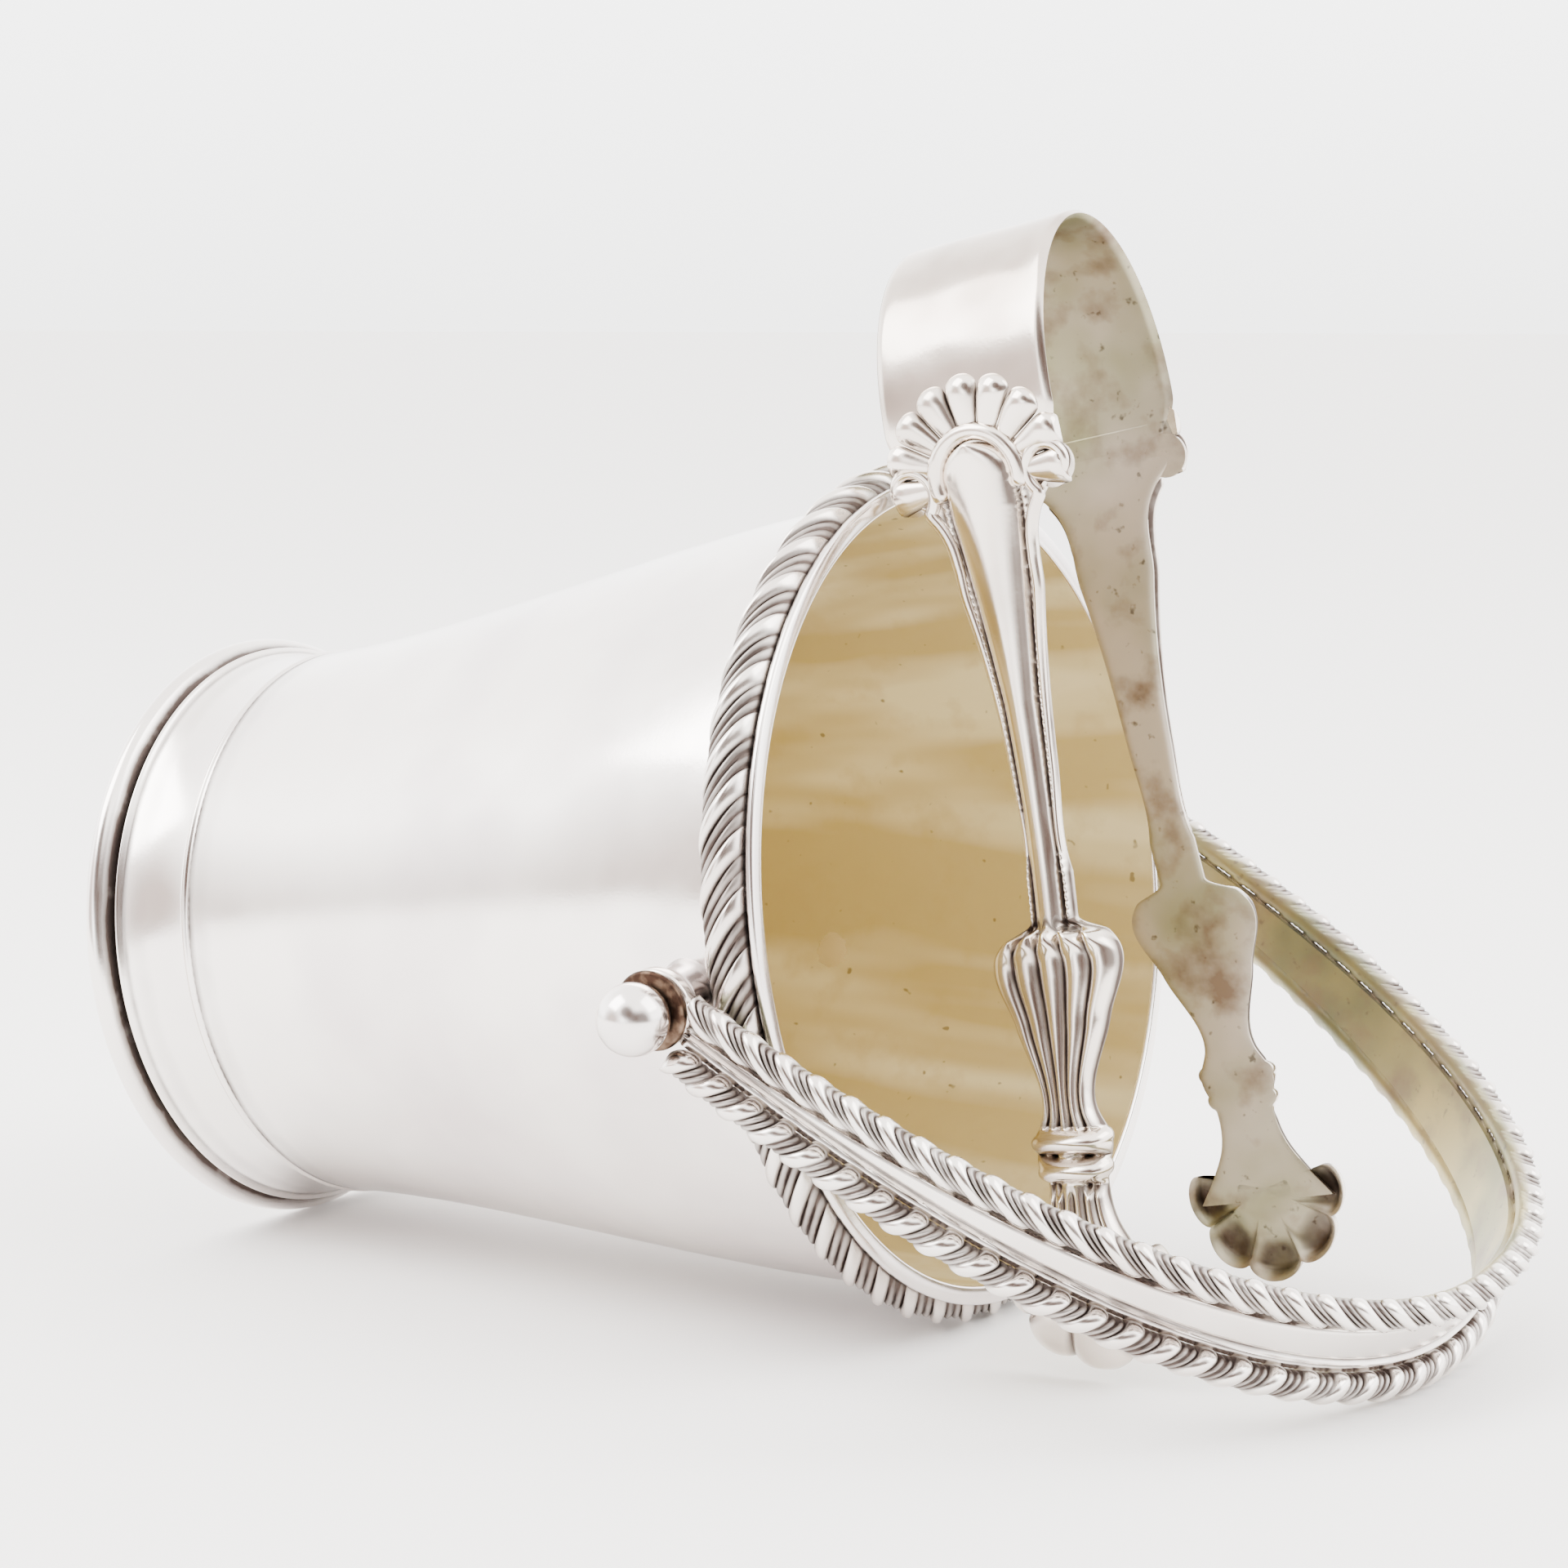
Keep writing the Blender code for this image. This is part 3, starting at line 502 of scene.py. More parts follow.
def build_foot():
    height = np.linspace(FOOT_HEIGHT, 0.0, 170)
    outer = foot_outline(height)
    inside_cove = np.minimum(outer, FOOT_COVE_RADIUS + FOOT_FLARE) - FOOT_WALL
    inner = np.where(height > EDGE_HEIGHT, inside_cove, FOOT_RADIUS - EDGE_WIDTH)
    radius = np.concatenate([outer, inner[::-1]])
    level = np.concatenate([height, height[::-1]])
    turn = np.linspace(0, 2 * math.pi, 192, endpoint=False)[None, :]
    uneven = 0.05 * MM * np.sin(3 * turn + 0.6) * np.sin(level[:, None] / FOOT_HEIGHT * math.pi)
    radius = radius[:, None] + uneven
    grid = to_row(pail, radius * np.cos(turn), radius * np.sin(turn), level[:, None])
    outside = np.concatenate([height * 0 + 1, height * 0])
    # Painted shade in the sharp groove over the edge moulding, where the foot meets the body and just above the
    # thin ridge, and a broad painted dark reflection across the lower cove.
    dark = 1.4 * bump(level, EDGE_HEIGHT + 0.3 * MM, 0.6 * MM) + 0.6 * bump(level, FOOT_HEIGHT, 0.3 * MM)
    dark = dark + 0.5 * bump(level, EDGE_HEIGHT + 2.6 * MM, 0.4 * MM)
    dark = dark + 0.22 * bump(level, EDGE_HEIGHT + 5.0 * MM, 2.2 * MM)
    patches = [(grid, (True, True), (outside * dark)[:, None], 0.35 * (1 - outside[:, None]))]
    add_piece("spread_foot", patches, raised_silver, "pail", ["foot_ring", "foot_edge"])


def build_rim():
    """Cast border: a half-round band whose crown rises and falls with slanting gadroons, soldered under the
    lip."""
    turn = np.linspace(0, 2 * math.pi, BORDER_UNITS * 30, endpoint=False)[None, :]
    side = np.linspace(0, math.pi, 22)[:, None]
    across = np.cos(side)
    lobes = gadroon(BORDER_UNITS * turn / (2 * math.pi)) + 0 * across
    turn = turn - 0.6 * across * 2 * math.pi / BORDER_UNITS
    middle, half = (BORDER_TOP + BORDER_BOTTOM) / 2, (BORDER_TOP - BORDER_BOTTOM) / 2
    crown = (BORDER_PROUD + 0.46 * MM) * np.sin(side) ** 0.75 * (0.72 + 0.28 * lobes)
    radius = BORDER_INNER - 0.5 * MM + crown
    height = middle + half * across + 0 * turn
    back = np.full((2, turn.shape[1]), BORDER_INNER - 0.5 * MM)
    radius = np.concatenate([radius, back])
    height = np.concatenate([height, middle + half * np.array([[-0.4], [0.4]]) + 0 * back])
    turn = np.concatenate([turn, turn[-1:], turn[:1]])
    grid = to_row(pail, radius * np.cos(turn), radius * np.sin(turn), height)
    # Painted shade between the gadroons, where sulphide also lies, along the band's edges against the wall and
    # lip, and over its hidden back.
    dark = gadroon_shade(lobes) * np.sin(side) ** 0.3 + 0.7 * (1 - np.sin(side) ** 0.5)
    dark = np.concatenate([dark, np.ones_like(back)])
    patches = [(grid, (True, True), dark, 0.0)]
    add_piece("gadrooned_rim", patches, cast_silver, "pail", ["rim_border"], 70.0)

    angle = np.linspace(0, 2 * math.pi, 28, endpoint=False)
    cosine, sine = np.cos(angle), np.sin(angle)
    radius = MOUTH_RADIUS + LIP_WIDTH / 2 + LIP_WIDTH / 2 * np.sign(cosine) * np.abs(cosine) ** 0.6
    height = PAIL_HEIGHT - LIP_HEIGHT / 2 + LIP_HEIGHT / 2 * np.sign(sine) * np.abs(sine) ** 0.7
    # Painted shade along the underside of the lip's outer edge.
    dark = 0.8 * bump(height, PAIL_HEIGHT - LIP_HEIGHT, 0.4 * MM) * (cosine > 0)
    grid = turned(pail, radius, height, 288)
    patches = [(grid, (True, True), dark[:, None], 0.0)]
    add_piece("flat_lip", patches, raised_silver, "pail", ["rim_lip"])


def build_pivots():
    """Everything turned on the hinge line: boss and ball on the pail, the blackened washer, the handle's
    eye."""
    for side, name in ((-1, "near"), (1, "far")):
        line = axes_at(hinge_point, pail_axis, side * hinge_line)
        start = body_radius(PIVOT_HEIGHT) - 0.6 * MM
        along = np.linspace(0, 1, 24)
        boss_radius = BOSS_RADIUS * (0.9 + 0.1 * np.maximum(bump(along, 0.0, 0.18), bump(along, 1.0, 0.16)))
        boss_radius[0] = boss_radius[-1] = 0.0
        boss = turned(line, boss_radius, start + along * (EYE_INNER - 0.1 * MM - start), 48)
        angle = np.linspace(math.pi / 2, -math.asin(BALL_FLAT / BALL_RADIUS), 40)
        ball_radius = BALL_RADIUS - BALL_INSET
        radius = np.concatenate([ball_radius * np.cos(angle), [0.0]])
        height = np.concatenate([BALL_CENTRE + ball_radius * np.sin(angle), [BALL_CENTRE - BALL_FLAT]])
        ball = turned(line, radius, height, 64)
        # Painted shade on the ball's flat against the washer, and on the boss where it meets the body and the eye.
        ball_shade = 0.7 * bump(height, BALL_CENTRE - BALL_FLAT, 0.7 * MM)[:, None]
        boss_shade = 0.5 * (bump(along, 0.15, 0.2) + bump(along, 0.95, 0.1))[:, None]
        patches = [(boss, (False, True), boss_shade, 0.0), (ball, (False, True), ball_shade, 0.0)]
        nodes = [name + "_boss", name + "_ball"]
        add_piece(name + "_boss_and_ball", patches, raised_silver, "pail", nodes)

        washer = rounded_disc(line, WASHER_RADIUS, WASHER_INNER, WASHER_THICKNESS)
        patches = [(washer, (False, True), 0.0, 0.0)]
        add_piece(name + "_pivot_washer", patches, sulphide, "pail", [name + "_washer"])
        eye = rounded_disc(line, EYE_RADIUS, EYE_INNER, EYE_THICKNESS)
        # A little painted shade over the whole eye.
        patches = [(eye, (False, True), 0.1, 0.0)]
        add_piece(name + "_handle_eye", patches, cast_silver, "handle", [name + "_eye"])
        pin = frame["nodes"][name + "_pin"].data
        pin.materials.clear()
        pin.materials.append(sulphide)


def rounded_disc(line, radius, start, thickness):
    """A disc on the hinge line, with a round edge."""
    angle = np.linspace(-math.pi / 2, math.pi / 2, 14)
    bend = min(thickness / 2, DISC_EDGE)
    edge = radius - bend + bend * np.cos(angle)
    level = np.where(angle < 0, start + bend, start + thickness - bend) + bend * np.sin(angle)
    level = np.concatenate([[start], level, [start + thickness]])
    return turned(line, np.concatenate([[0], edge, [0]]), level, 56)


# ---------------------------------------------------------------- handle
def arch(count, start):
    """The handle's centreline, a squarish half ellipse |y/a|^p + |z/b|^p = 1 with evenly spaced points, start
    short of the hinge at both ends: y, z, the direction outwards as two columns, and the share of its
    length."""
    angle = np.linspace(0.0, math.pi, 1441)
    power = 2.0 / HANDLE_SQUARENESS
    y = -HANDLE_HALF_SPAN * np.sign(np.cos(angle)) * np.abs(np.cos(angle)) ** power
    z = HANDLE_REACH * np.abs(np.sin(angle)) ** power
    length = np.concatenate([[0.0], np.cumsum(np.hypot(np.diff(y), np.diff(z)))])
    wanted = np.linspace(start, length[-1] - start, count)
    y, z = np.interp(wanted, length, y), np.interp(wanted, length, z)
    along_y, along_z = np.gradient(y), np.gradient(z)
    size = np.hypot(along_y, along_z)
    return y, z, -along_z / size, along_y / size, wanted / length[-1]


def border_offset(share):
    """From the strap's middle to the border wire: little beside the eyes, widest at the apex."""
    return (3.6 + 2.8 * np.sin(math.pi * np.clip(share, 0, 1)) ** 1.2) * MM


def build_strap():
    """A flat strip along the arch, with a thin reed and a fine groove inside each border."""
    y, z, out_y, out_z, share = arch(320, EYE_RADIUS - 0.8 * MM)
    bare = (border_offset(share) - BORDER_WIRE_RADIUS)[:, None]
    across = np.linspace(-1, 1, 49)[None, :]
    x = across * (bare + 0.9 * MM)
    reed_place = np.maximum(bare - 0.75 * MM, 0.42 * MM)
    away = np.abs(x) - reed_place
    grooves = 0.16 * bump(away, -0.55 * MM, 0.22 * MM) + 0.2 * bump(away, 0.5 * MM, 0.25 * MM)
    reeds = 0.55 * bump(away, 0, 0.24 * MM) - grooves
    crown = 0.25 * (1 - (x / (bare + MM)) ** 2) * step_up(bare, 1.5 * MM, 3 * MM)
    lift = STRAP_THICKNESS / 2 + (reeds + crown) * MM
    x = np.concatenate([x, x[:, ::-1]], axis=1)
    lift = np.concatenate([lift, np.full_like(lift, -STRAP_THICKNESS / 2)], axis=1)
    lift[0], lift[-1] = 0.0, 0.0
    grid = to_row(handle, x, y[:, None] + out_y[:, None] * lift, z[:, None] + out_z[:, None] * lift)
    # Painted shade in the fine grooves beside each reed.
    dark = 0.85 * bump(away, 0.5 * MM, 0.3 * MM) + 0.75 * bump(away, -0.55 * MM, 0.25 * MM)
    dark = np.concatenate([dark, np.zeros_like(dark)], axis=1)
    back = np.concatenate([np.zeros_like(away), np.full_like(away, 0.8)], axis=1)
    patches = [(grid, (False, True), dark, back)]
    add_piece("handle_strip", patches, handle_silver, "handle", ["handle_strap"])


def build_handle_borders():
    """Each border is a round wire whose radius swells and shrinks with slanting gadroons; its back is
    plain."""
    line = arch(1200, 0.0)
    around = np.linspace(0, 2 * math.pi, 26, endpoint=False)[None, :]
    lift = BORDER_WIRE_RADIUS - STRAP_THICKNESS / 2
    first = (EYE_RADIUS - 0.4 * MM) / HANDLE_LENGTH
    straight = np.linspace(first, 1 - first, HANDLE_UNITS * 30)[:, None]
    lobes = gadroon(HANDLE_UNITS * straight, lobe=0.55) + 0 * around
    ends = np.clip(np.minimum(straight - first, 1 - first - straight) / 0.006, 0, 1)
    taper = np.sqrt(1 - (1 - ends) ** 2)
    for side, name, lean in ((-1, "left", 0.55), (1, "right", 0.3)):
        slant = lean * side * np.cos(around) * step_up(ends, 0.0, 1.0)
        share = np.clip(straight - slant / HANDLE_UNITS, first, 1 - first)
        y, z, out_y, out_z = (np.interp(share, line[4], column) for column in line[:4])
        fade = step_up(np.sin(around), -1.0, -0.2)
        full = (BORDER_WIRE_RADIUS - BORDER_WIRE_INSET) * taper
        radius = full * (1 - fade * 0.34 * (1 - lobes) - 0.12 * (1 - fade))
        x = side * border_offset(share) + radius * np.cos(around)
        rise = lift + radius * np.sin(around)
        grid = to_row(handle, x, y + out_y * rise, z + out_z * rise)
        # Painted shade between the gadroons on the wire's front, and on the side of the wire that meets the strap.
        dark = fade * gadroon_shade(lobes)
        strap_side_shade = step_up(-side * np.cos(around), 0.6, 1.0) * step_up(np.sin(around), 0.3, -0.4)
        back = 0.8 * step_up(-np.sin(around), 0.3, 0.8) + 0 * dark
        patches = [(grid, (False, True), dark + 0.6 * strap_side_shade, back)]
        nodes = ["handle_border_" + name]
        add_piece("gadrooned_edge_" + name, patches, handle_silver, "handle", nodes, 70.0)


# ---------------------------------------------------------------- tongs
def share_height(share):
    """Height over the claws at a share of the length from the crown."""
    return TONGS_LENGTH * (1 - share)


def leg_spread(share):
    """Half spread of the tongs at a share of their length: the bow's half ellipse, then the arm's own
    line."""
    drop = np.clip(share * TONGS_LENGTH / BOW_DEPTH, 0, 1)
    bow = BOW_HALF_SPREAD * np.sqrt(1 - (1 - drop) ** 2)
    blend = step_up(share, 0.163, 0.2)
    return bow * (1 - blend) + through(np.maximum(share, 0.2), 1) * blend


def build_bow(side, nodes):
    """Half of the spring: a polished strip bent over, from the middle of the crown down under the shell."""
    angle = np.linspace(0, math.pi / 2, 60)
    y = BOW_HALF_SPREAD * np.sin(angle)
    z = TONGS_LENGTH - BOW_DEPTH * (1 - np.cos(angle)) - LEAF_THICKNESS / 2
    down = np.linspace(0, 1, 14)[1:]
    end_height = share_height(0.212)
    y = np.concatenate([y, BOW_HALF_SPREAD + (leg_spread(np.array(0.212)) - BOW_HALF_SPREAD) * down])
    z = np.concatenate([z, z[-1] + (end_height - z[-1]) * down])
    along_y, along_z = np.gradient(y), np.gradient(z)
    size = np.hypot(along_y, along_z)
    out_y, out_z = -along_z / size, along_y / size
    across = np.linspace(-1, 1, 41)[None, :]
    half = LEAF_THICKNESS / 2 * np.sqrt(1 - 0.9999 * across ** 24)
    wave = 0.05 * MM * np.sin(5 * across + z[:, None] / (7 * MM))
    narrow = 1 - 0.14 * step_up(z[:, None], share_height(0.17), end_height)
    x = np.concatenate([across, across[:, ::-1]], axis=1) * LEAF_HALF_WIDTH * narrow
    lift = np.concatenate([half + wave * half / half.max() - 0.05 * MM, -half[:, ::-1] + 0 * wave], axis=1)
    grid = to_row(tongs, x, side * (y[:, None] + out_y[:, None] * lift), z[:, None] + out_z[:, None] * lift)
    inside = np.concatenate([np.zeros(41), np.ones(41)])[None, :]
    name = "sprung_bow_near" if side < 0 else "sprung_bow_far"
    item = add_piece(name, [(grid, (False, True), 0.0, inside)], tongs_silver, None, nodes)
    start = to_row(tongs, 0, 0, TONGS_LENGTH)
    end = to_row(tongs, 0, side * BOW_HALF_SPREAD, share_height(0.125))
    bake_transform(item)


def flute_ridges(x, half_width, count):
    """Side by side round ridges across a width, highest 1."""
    return np.abs(np.cos(math.pi * (x / half_width + 1) * count / 2 + math.pi / 2)) ** 0.6


def arm_relief(share, x, half_width):
    """Height of the cast front above its edge, and how much painted shade each point gets in the hollows and
    creases.
    """
    along = share * TONGS_LENGTH
    # the domed drop, from its round top to the narrow stem, with a milled line down each side
    panel = np.interp(share, (0.19, 0.25, 0.33, 0.42, 0.52, 0.62), (5.4, 5.3, 3.9, 2.5, 2.0, 2.1)) * MM
    top = PANEL_TOP - 0.031
    reach_up = np.clip((PANEL_TOP - share) / (PANEL_TOP - top), 0, 1)
    panel = panel * np.sqrt(np.clip(1 - reach_up ** 2, 0, 1))
    inside = np.clip(1 - (x / np.maximum(panel, 0.01 * MM)) ** 2, 0, 1)
    dome = 2.7 * MM * np.sqrt(inside) * (share > top) * (0.75 + 0.25 * step_up(share, 0.6, 0.3))
    away = np.abs(x) - panel
    milling = 0.55 + 0.45 * np.abs(np.sin(math.pi * along / (1.1 * MM)))
    beads = 0.55 * MM * bump(away, 0.65 * MM, 0.35 * MM) * milling * (share > PANEL_TOP)
    rim = 0.5 * MM * bump(half_width - np.abs(x), 0.7 * MM, 0.5 * MM)
    stem = 0.45 * MM + dome + beads + rim
    # Painted shade in the lines either side of the milled beads.
    stem_dark = 0.95 * bump(away, 0.15 * MM, 0.3 * MM) + 0.8 * bump(away, 1.25 * MM, 0.3 * MM)

    # the fluted fan, its top edge scalloped
    ridges = flute_ridges(x, half_width, 5)
    scallop = FAN_TOP + 0.012 * (1 - ridges) + 0.006 * (x / half_width) ** 2
    in_fan = step_up(share, scallop, scallop + 0.006) * (share < 0.79)
    thick = np.interp(share, (0.61, 0.66, 0.775), (3.9, 3.2, 2.6)) * MM
    knob = 0.5 * MM * bump(share, scallop + 0.012, 0.008)
    fan = thick * (0.55 + 0.45 * ridges) * np.sqrt(np.clip(1 - 0.55 * (x / half_width) ** 2, 0, 1)) + knob
    height = stem * (1 - in_fan) + fan * in_fan
    # Painted shade between the fan's flutes and along its scalloped top.
    dark = stem_dark * (1 - in_fan) + np.clip(1.25 - 1.7 * ridges, 0, 1) * in_fan
    dark = dark + 0.8 * bump(share, scallop - 0.004, 0.005) * (share > 0.58)

    # two rings round the neck, then a flare fluted down to the claw
    low = step_up(share, 0.835, 0.85)
    ridges = flute_ridges(x, half_width, 6)
    flare = np.interp(share, (0.83, 0.9, 1.0), (2.3, 2.9, 1.6)) * MM * (0.7 + 0.3 * ridges)
    flare = flare * np.sqrt(np.clip(1 - 0.6 * (x / half_width) ** 2, 0, 1))
    height = height * (1 - low) + flare * low
    # Painted shade between the flare's flutes, fading towards the claw.
    dark = dark * (1 - low) + np.clip(1.1 - 1.5 * ridges, 0, 1) * low * step_up(share, 0.95, 0.9)
    slanted = share - 0.0006 * x / MM
    round_section = np.sqrt(np.clip(1 - 0.75 * (x / half_width) ** 2, 0, 1))
    for ring, _, size in NECK_RINGS:
        bulge = np.sqrt(np.clip(1 - ((slanted - ring) / 0.0125) ** 2, 0, 1))
        height = np.where(bulge > 0, np.maximum(height, size * MM * bulge * round_section), height)
        # Painted shade in the creases at the foot of each neck ring; none on the ring itself.
        dark = dark * (1 - np.clip(3 * bulge, 0, 1)) + 1.0 * bump(bulge, 0.0, 0.2) * bump(slanted, ring, 0.016)
    return height, dark


def arm_half_width(share):
    """Outline of an arm: its smooth line, with the two neck rings standing out."""
    wide = through(share, 2)
    for ring, size, _ in NECK_RINGS:
        bulge = np.sqrt(np.clip(1 - ((share - ring) / 0.012) ** 2, 0, 1))
        wide = np.maximum(wide, size * MM * bulge ** 0.5)
    fan_top = step_up(share, FAN_TOP - 0.004, FAN_TOP + 0.012)
    stem = np.minimum(wide, 3.5 * MM)
    return np.where((share > 0.5) & (share < 0.66), stem + (wide - stem) * fan_top, wide)


def build_arm(side, name):
    """A cast arm: a sheet of relief from the panel to the flare, with the shell, the scrolls and the claw on
    it."""
    share = np.linspace(ARM_START, ARM_END, 500)[:, None]
    half_width = arm_half_width(share)
    spread = leg_spread(share)
    across = np.sin(np.linspace(-math.pi / 2, math.pi / 2, 65))[None, :]
    x = across * half_width
    height, dark = arm_relief(share, x, half_width)
    edge = np.sqrt(1 - 0.998 * across ** 10)
    outer = spread + height * edge
    inner = spread - LEAF_THICKNESS / 2 + 0.25 * MM * np.abs(across) ** 12
    y = np.concatenate([outer, inner[:, ::-1] + 0 * share], axis=1)
    both = np.concatenate([x, x[:, ::-1]], axis=1)
    y[0] = y[0].mean()
    y[-1] = y[-1].mean()
    grid = to_row(tongs, both, side * y, share_height(share) + 0 * both)
    # The front carries the painted shade of its relief; the back none.
    front_shade = np.concatenate([dark, np.zeros_like(dark)], axis=1)
    back = np.concatenate([np.zeros_like(dark), np.ones_like(dark)], axis=1)
    patches = [(grid, (False, True), front_shade, back)]
    patches += shell_patch(side) + roll_patches(side) + claw_patch(side)
    body = "tongs_" + name
    add_piece("cast_arm_" + name, patches, tongs_silver, body, [body + "_arm"], 65.0)


def shell_patch(side):
    """Round-ended lobes spreading like a shell over the foot of the bow, in rings round the panel's top."""
    angle = np.radians(np.linspace(-SHELL_HALF_TURN, SHELL_HALF_TURN, 190))[None, :]
    lobe = np.abs(np.cos(angle * SHELL_LOBES / np.radians(2 * SHELL_HALF_TURN) * math.pi)) ** 0.5
    end = (12.6 + 1.7 * lobe) * MM
    share_out = np.linspace(0, 1, 26)[:, None]
    reach = SHELL_START + share_out * (end - SHELL_START)
    x = reach * np.sin(angle)
    height = share_height(PANEL_TOP) + reach * np.cos(angle)
    round_end = np.sqrt(np.clip(1 - (np.clip(share_out - 0.6, 0, 1) / 0.4) ** 2, 0, 1))
    rise = 2.3 * MM * (0.25 + 0.75 * lobe) * round_end * (0.55 + 0.45 * share_out)
    spread = leg_spread(1 - height / TONGS_LENGTH)
    x = np.clip(x, -LEAF_HALF_WIDTH, LEAF_HALF_WIDTH)
    top = spread + rise
    bottom = spread - 0.3 * MM
    y = np.concatenate([top, bottom[::-1]])
    grid = to_row(tongs, np.concatenate([x, x[::-1]]), side * y, np.concatenate([height, height[::-1]]))
    # Painted shade between the shell's lobes and along its inner edge under the roll.
    dark = np.clip(1.15 - 1.6 * lobe, 0, 1) * np.ones_like(share_out) + 0.5 * bump(share_out, 0.0, 0.12)
    return [(grid, (True, False), np.concatenate([dark, dark[::-1]]), 0.0)]


def tube(side, x, z, radius, rise, steps=14):
    """A round wire laid on the arm's front along a line of x and height, its radius and rise given along
    it."""
    along_x, along_z = np.gradient(x), np.gradient(z)
    size = np.hypot(along_x, along_z)
    beside_x, beside_z = along_z / size, -along_x / size
    around = np.linspace(0, 2 * math.pi, steps, endpoint=False)[None, :]
    ends = np.clip(np.minimum(np.arange(len(x)), np.arange(len(x))[::-1]) / 4, 0, 1)
    radius = (radius * np.sqrt(1 - (1 - ends) ** 2))[:, None]
    spread = (leg_spread(1 - z / TONGS_LENGTH) + rise)[:, None]
    px = x[:, None] + beside_x[:, None] * radius * np.cos(around)
    pz = z[:, None] + beside_z[:, None] * radius * np.cos(around)
    # Painted shade on the wire's underside, against the arm.
    dark = 0.9 * step_up(-np.sin(around), -0.1, 0.5) + 0 * px
    return to_row(tongs, px, side * (spread + radius * np.sin(around)), pz), (False, True), dark, 0.0


def roll_patches(side):
    """The arched roll over the panel, and on each side a C-scroll: down the panel's edge, out, and curled
    up."""
    springing = share_height(PANEL_TOP)
    angle = np.radians(np.linspace(-ROLL_HALF_TURN, ROLL_HALF_TURN, 90))
    roll_x, roll_z = ROLL_RADIUS * np.sin(angle), springing + ROLL_RADIUS * np.cos(angle)
    patches = [tube(side, roll_x, roll_z, ROLL_WIRE + 0 * angle, 0.9 * MM)]
    for hand in (-1, 1):
        turn = np.linspace(0, 1, 110)
        curl = np.radians(-51 + 400 * turn)
        reach = (3.9 - 3.0 * turn) * MM
        centre_x, centre_z = VOLUTE_ASIDE, springing - 0.2 * MM
        spiral_x = centre_x - reach * np.cos(curl)
        spiral_z = centre_z + reach * np.sin(curl)
        down = np.linspace(0.56, 1 - spiral_z[0] / TONGS_LENGTH, 80)[:-1]
        ease = step_up(down, 0.30, 1 - spiral_z[0] / TONGS_LENGTH)
        lead_x = (arm_half_width(down) - 0.45 * MM) * (1 - ease) + spiral_x[0] * ease
        lead_x = np.minimum(lead_x, arm_half_width(down) - 0.35 * MM)
        x = hand * np.concatenate([lead_x, spiral_x])
        z = np.concatenate([share_height(down), spiral_z])
        lead_radius = (0.42 + 0.5 * step_up(down, 0.5, 0.25)) * MM
        radius = np.concatenate([lead_radius, (0.92 - 0.3 * turn) * MM])
        patches.append(tube(side, x, z, radius, 0.75 * MM))
        disc_angle = np.linspace(0, 2 * math.pi, 32, endpoint=False)[None, :]
        disc = np.linspace(0, 1, 9)[:, None]
        px = hand * centre_x + VOLUTE_DISC * disc * np.cos(disc_angle)
        pz = centre_z + VOLUTE_DISC * disc * np.sin(disc_angle)
        front = leg_spread(np.full_like(px, PANEL_TOP)) + 0.5 * MM * (1 - disc ** 2)
        behind = leg_spread(np.full_like(px, PANEL_TOP)) - LEAF_THICKNESS / 2 + 0 * px
        y = np.concatenate([front, behind[::-1]])
        grid = to_row(tongs, np.concatenate([px, px[::-1]]), side * y, np.concatenate([pz, pz[::-1]]))
        back = np.concatenate([0 * px, np.ones_like(px)])
        # A little painted shade over the front of each volute disc.
        patches.append((grid, (False, True), 0.35 * (1 - back), back))
    return patches


def claw_patch(side):
    """The claw: five smooth round lobes spreading downwards from the flare, hollow pockets behind them."""
    angle = np.radians(np.linspace(-CLAW_HALF_TURN, CLAW_HALF_TURN, 200))[None, :]
    lobe = np.abs(np.cos(angle * CLAW_LOBES / np.radians(2 * CLAW_HALF_TURN) * math.pi)) ** 0.5
    centre = share_height(CLAW_CENTRE)
    to_surface = (centre - 0.1 * MM) / np.maximum(np.cos(angle), 0.05)
    straight = np.minimum((13.4 - 1.2 * np.sin(angle) ** 2) * MM, to_surface)
    end = straight * (0.85 + 0.15 * lobe)
    reach_share = np.linspace(0, 1, 30)[:, None]
    reach = end * reach_share
    x = reach * np.sin(angle)
    height = centre - reach * np.cos(angle)
    spread = leg_spread(1 - height / TONGS_LENGTH)
    round_end = np.sqrt(np.clip(1 - (np.clip(reach_share - 0.45, 0, 1) / 0.55) ** 2, 0, 1))
    rise = (2.6 + 1.6 * lobe * step_up(reach_share, 0.1, 0.6)) * MM * round_end
    pocket = 1.9 * MM * lobe * step_up(reach_share, 0.35, 0.75) * step_up(reach_share, 1.0, 0.86)
    top, bottom = spread + rise, spread - LEAF_THICKNESS / 2 + pocket
    y = np.concatenate([top, bottom[::-1]])
    grid = to_row(tongs, np.concatenate([x, x[::-1]]), side * y, np.concatenate([height, height[::-1]]))
    # Painted shade between the claw's lobes and in the pockets behind them.
    front = np.clip(1.05 - 1.5 * lobe, 0, 1) * step_up(reach_share, 0.25, 0.6)
    behind = 0.75 * step_up(pocket, 0.5 * MM, 1.7 * MM)
    dark = np.concatenate([front, behind[::-1]])
    back = np.concatenate([np.zeros_like(rise), np.ones_like(rise)])
    return [(grid, (True, False), dark, back)]


build_body()
build_lining()
build_foot()
build_rim()
build_pivots()
build_strap()
build_handle_borders()
build_bow(-1, ["tongs_crown", "tongs_near_leaf"])
build_bow(1, ["tongs_far_leaf"])
build_arm(-1, "near")
build_arm(1, "far")


# ---------------------------------------------------------------- the studio
FLOOR_HALF_SIZE = 30.0
SKY_STRENGTH = 6.0
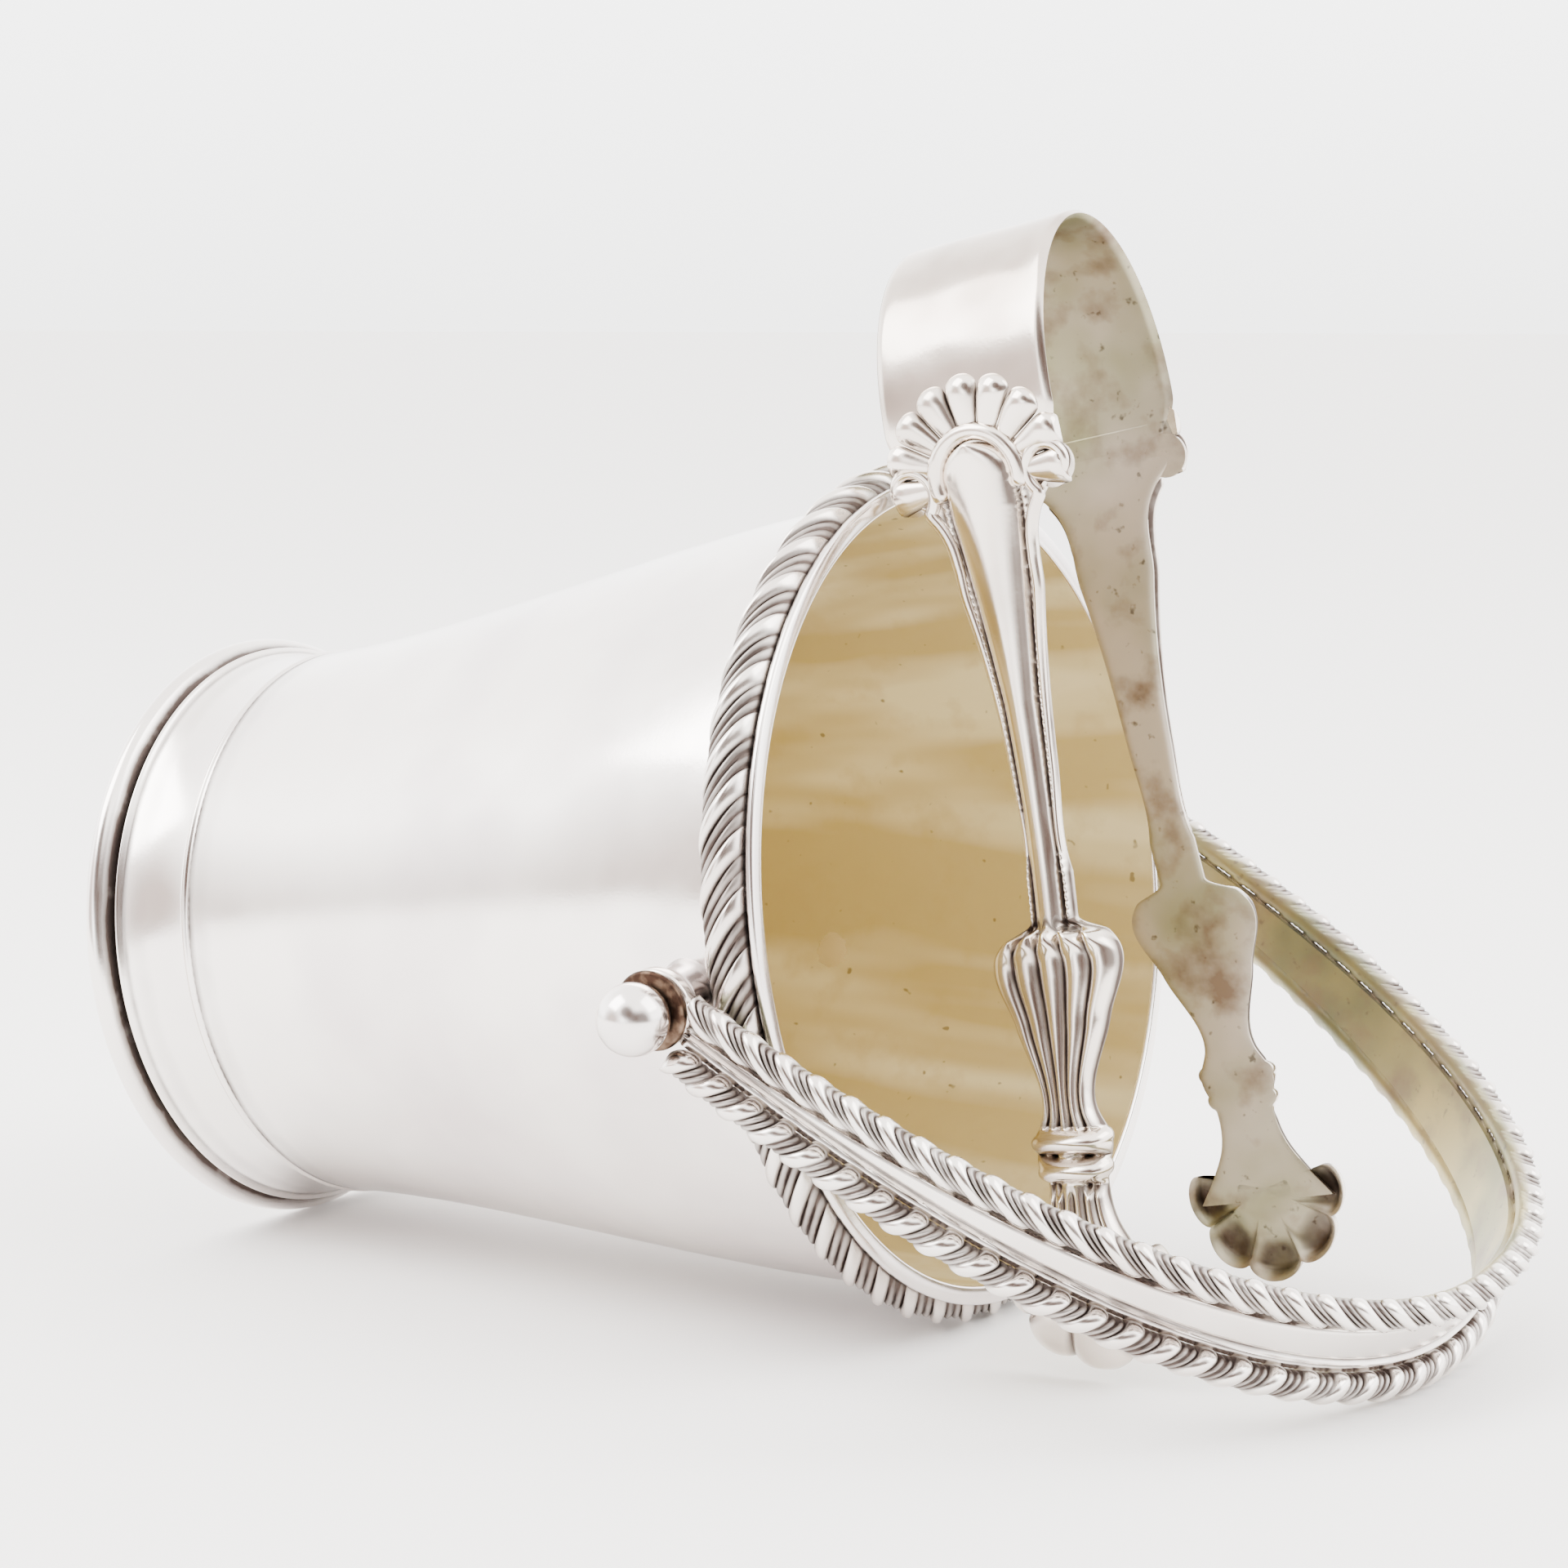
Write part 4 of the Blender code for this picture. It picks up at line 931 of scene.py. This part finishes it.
# Dark soft patches of the room that polished silver shows: direction, the cosines where each starts and is full,
# and tint.
DARK_PATCHES = (
    ((-0.56, -0.82, 0.08), 0.82, 0.97, "#857973"),
    ((0.87, -0.47, 0.12), 0.80, 0.94, "#33251F"),
    ((0.48, -0.80, 0.32), 0.88, 0.97, "#33251F"),
    ((0.16, -0.83, 0.54), 0.92, 0.975, "#33251F"),
)
# Name, place, size and power.
LAMPS = (
    ("window", (-0.7, -0.7, 1.1), 0.9, 22.0),
    ("fill", (0.9, 0.3, 1.0), 0.9, 12.0),
)
CAMERA_PLACE = (0.27235, -0.44451, 0.13941)
CAMERA_AIM = (-0.52516, 0.84165, -0.12583)
CAMERA_LENS = 84.4


def build_floor():
    """A big matt white board under the set."""
    floor_mesh = bpy.data.meshes.new("pale_table")
    size = FLOOR_HALF_SIZE
    corners = [(-size, -size, 0), (size, -size, 0), (size, size, 0), (-size, size, 0)]
    floor_mesh.from_pydata(corners, [], [(0, 1, 2, 3)])
    floor = bpy.data.objects.new("pale_table", floor_mesh)
    bpy.context.scene.collection.objects.link(floor)
    material, tree, shader = new_material("matt_white_board")
    shader.inputs["Base Color"].default_value = linear("#FBFAF9")
    shader.inputs["Roughness"].default_value = 0.85
    shader.inputs["Specular IOR Level"].default_value = 0.1
    floor_mesh.materials.append(material)


def build_sky():
    """A bright white room, a little greyer overhead and level with the floor, with a few dark soft
    patches."""
    world = bpy.data.worlds.new("studio")
    bpy.context.scene.world = world
    world.use_nodes = True
    tree = world.node_tree
    direction = add(tree, "TexCoord", {}).outputs["Generated"]
    height = add(tree, "SeparateXYZ", {"Vector": direction}).outputs["Z"]
    sky = mixed(tree, ranged(tree, height, 0.0, 0.14, 0.0, 1.0), linear("#DADAD9"), linear("#FFFFFF"))
    sky = mixed(tree, ranged(tree, height, 0.25, 0.8, 0.0, 1.0), sky, linear("#DCD9D6"))
    for place, wide, core, tint in DARK_PATCHES:
        towards = add(tree, "VectorMath", {0: direction, 1: place}, operation="DOT_PRODUCT").outputs["Value"]
        sky = mixed(tree, ranged(tree, towards, wide, core, 0.0, 0.95), sky, linear(tint))
    tree.links.new(sky, tree.nodes["Background"].inputs["Color"])
    tree.nodes["Background"].inputs["Strength"].default_value = SKY_STRENGTH


def build_lamps():
    """Two big soft lamps above, aimed at the set."""
    for name, place, size, power in LAMPS:
        lamp = bpy.data.lights.new(name, "AREA")
        lamp.size = size
        lamp.energy = power
        item = bpy.data.objects.new(name, lamp)
        bpy.context.scene.collection.objects.link(item)
        item.location = place
        item.rotation_euler = (-item.location).to_track_quat("-Z", "Y").to_euler()


def build_camera():
    """A long lens, low and to the right of the set."""
    lens = bpy.data.cameras.new("camera")
    lens.lens = CAMERA_LENS
    lens.sensor_width = 36.0
    item = bpy.data.objects.new("camera", lens)
    bpy.context.scene.collection.objects.link(item)
    item.location = CAMERA_PLACE
    item.rotation_euler = Vector(CAMERA_AIM).to_track_quat("-Z", "Y").to_euler()
    bpy.context.scene.camera = item


build_floor()
build_sky()
build_lamps()
build_camera()
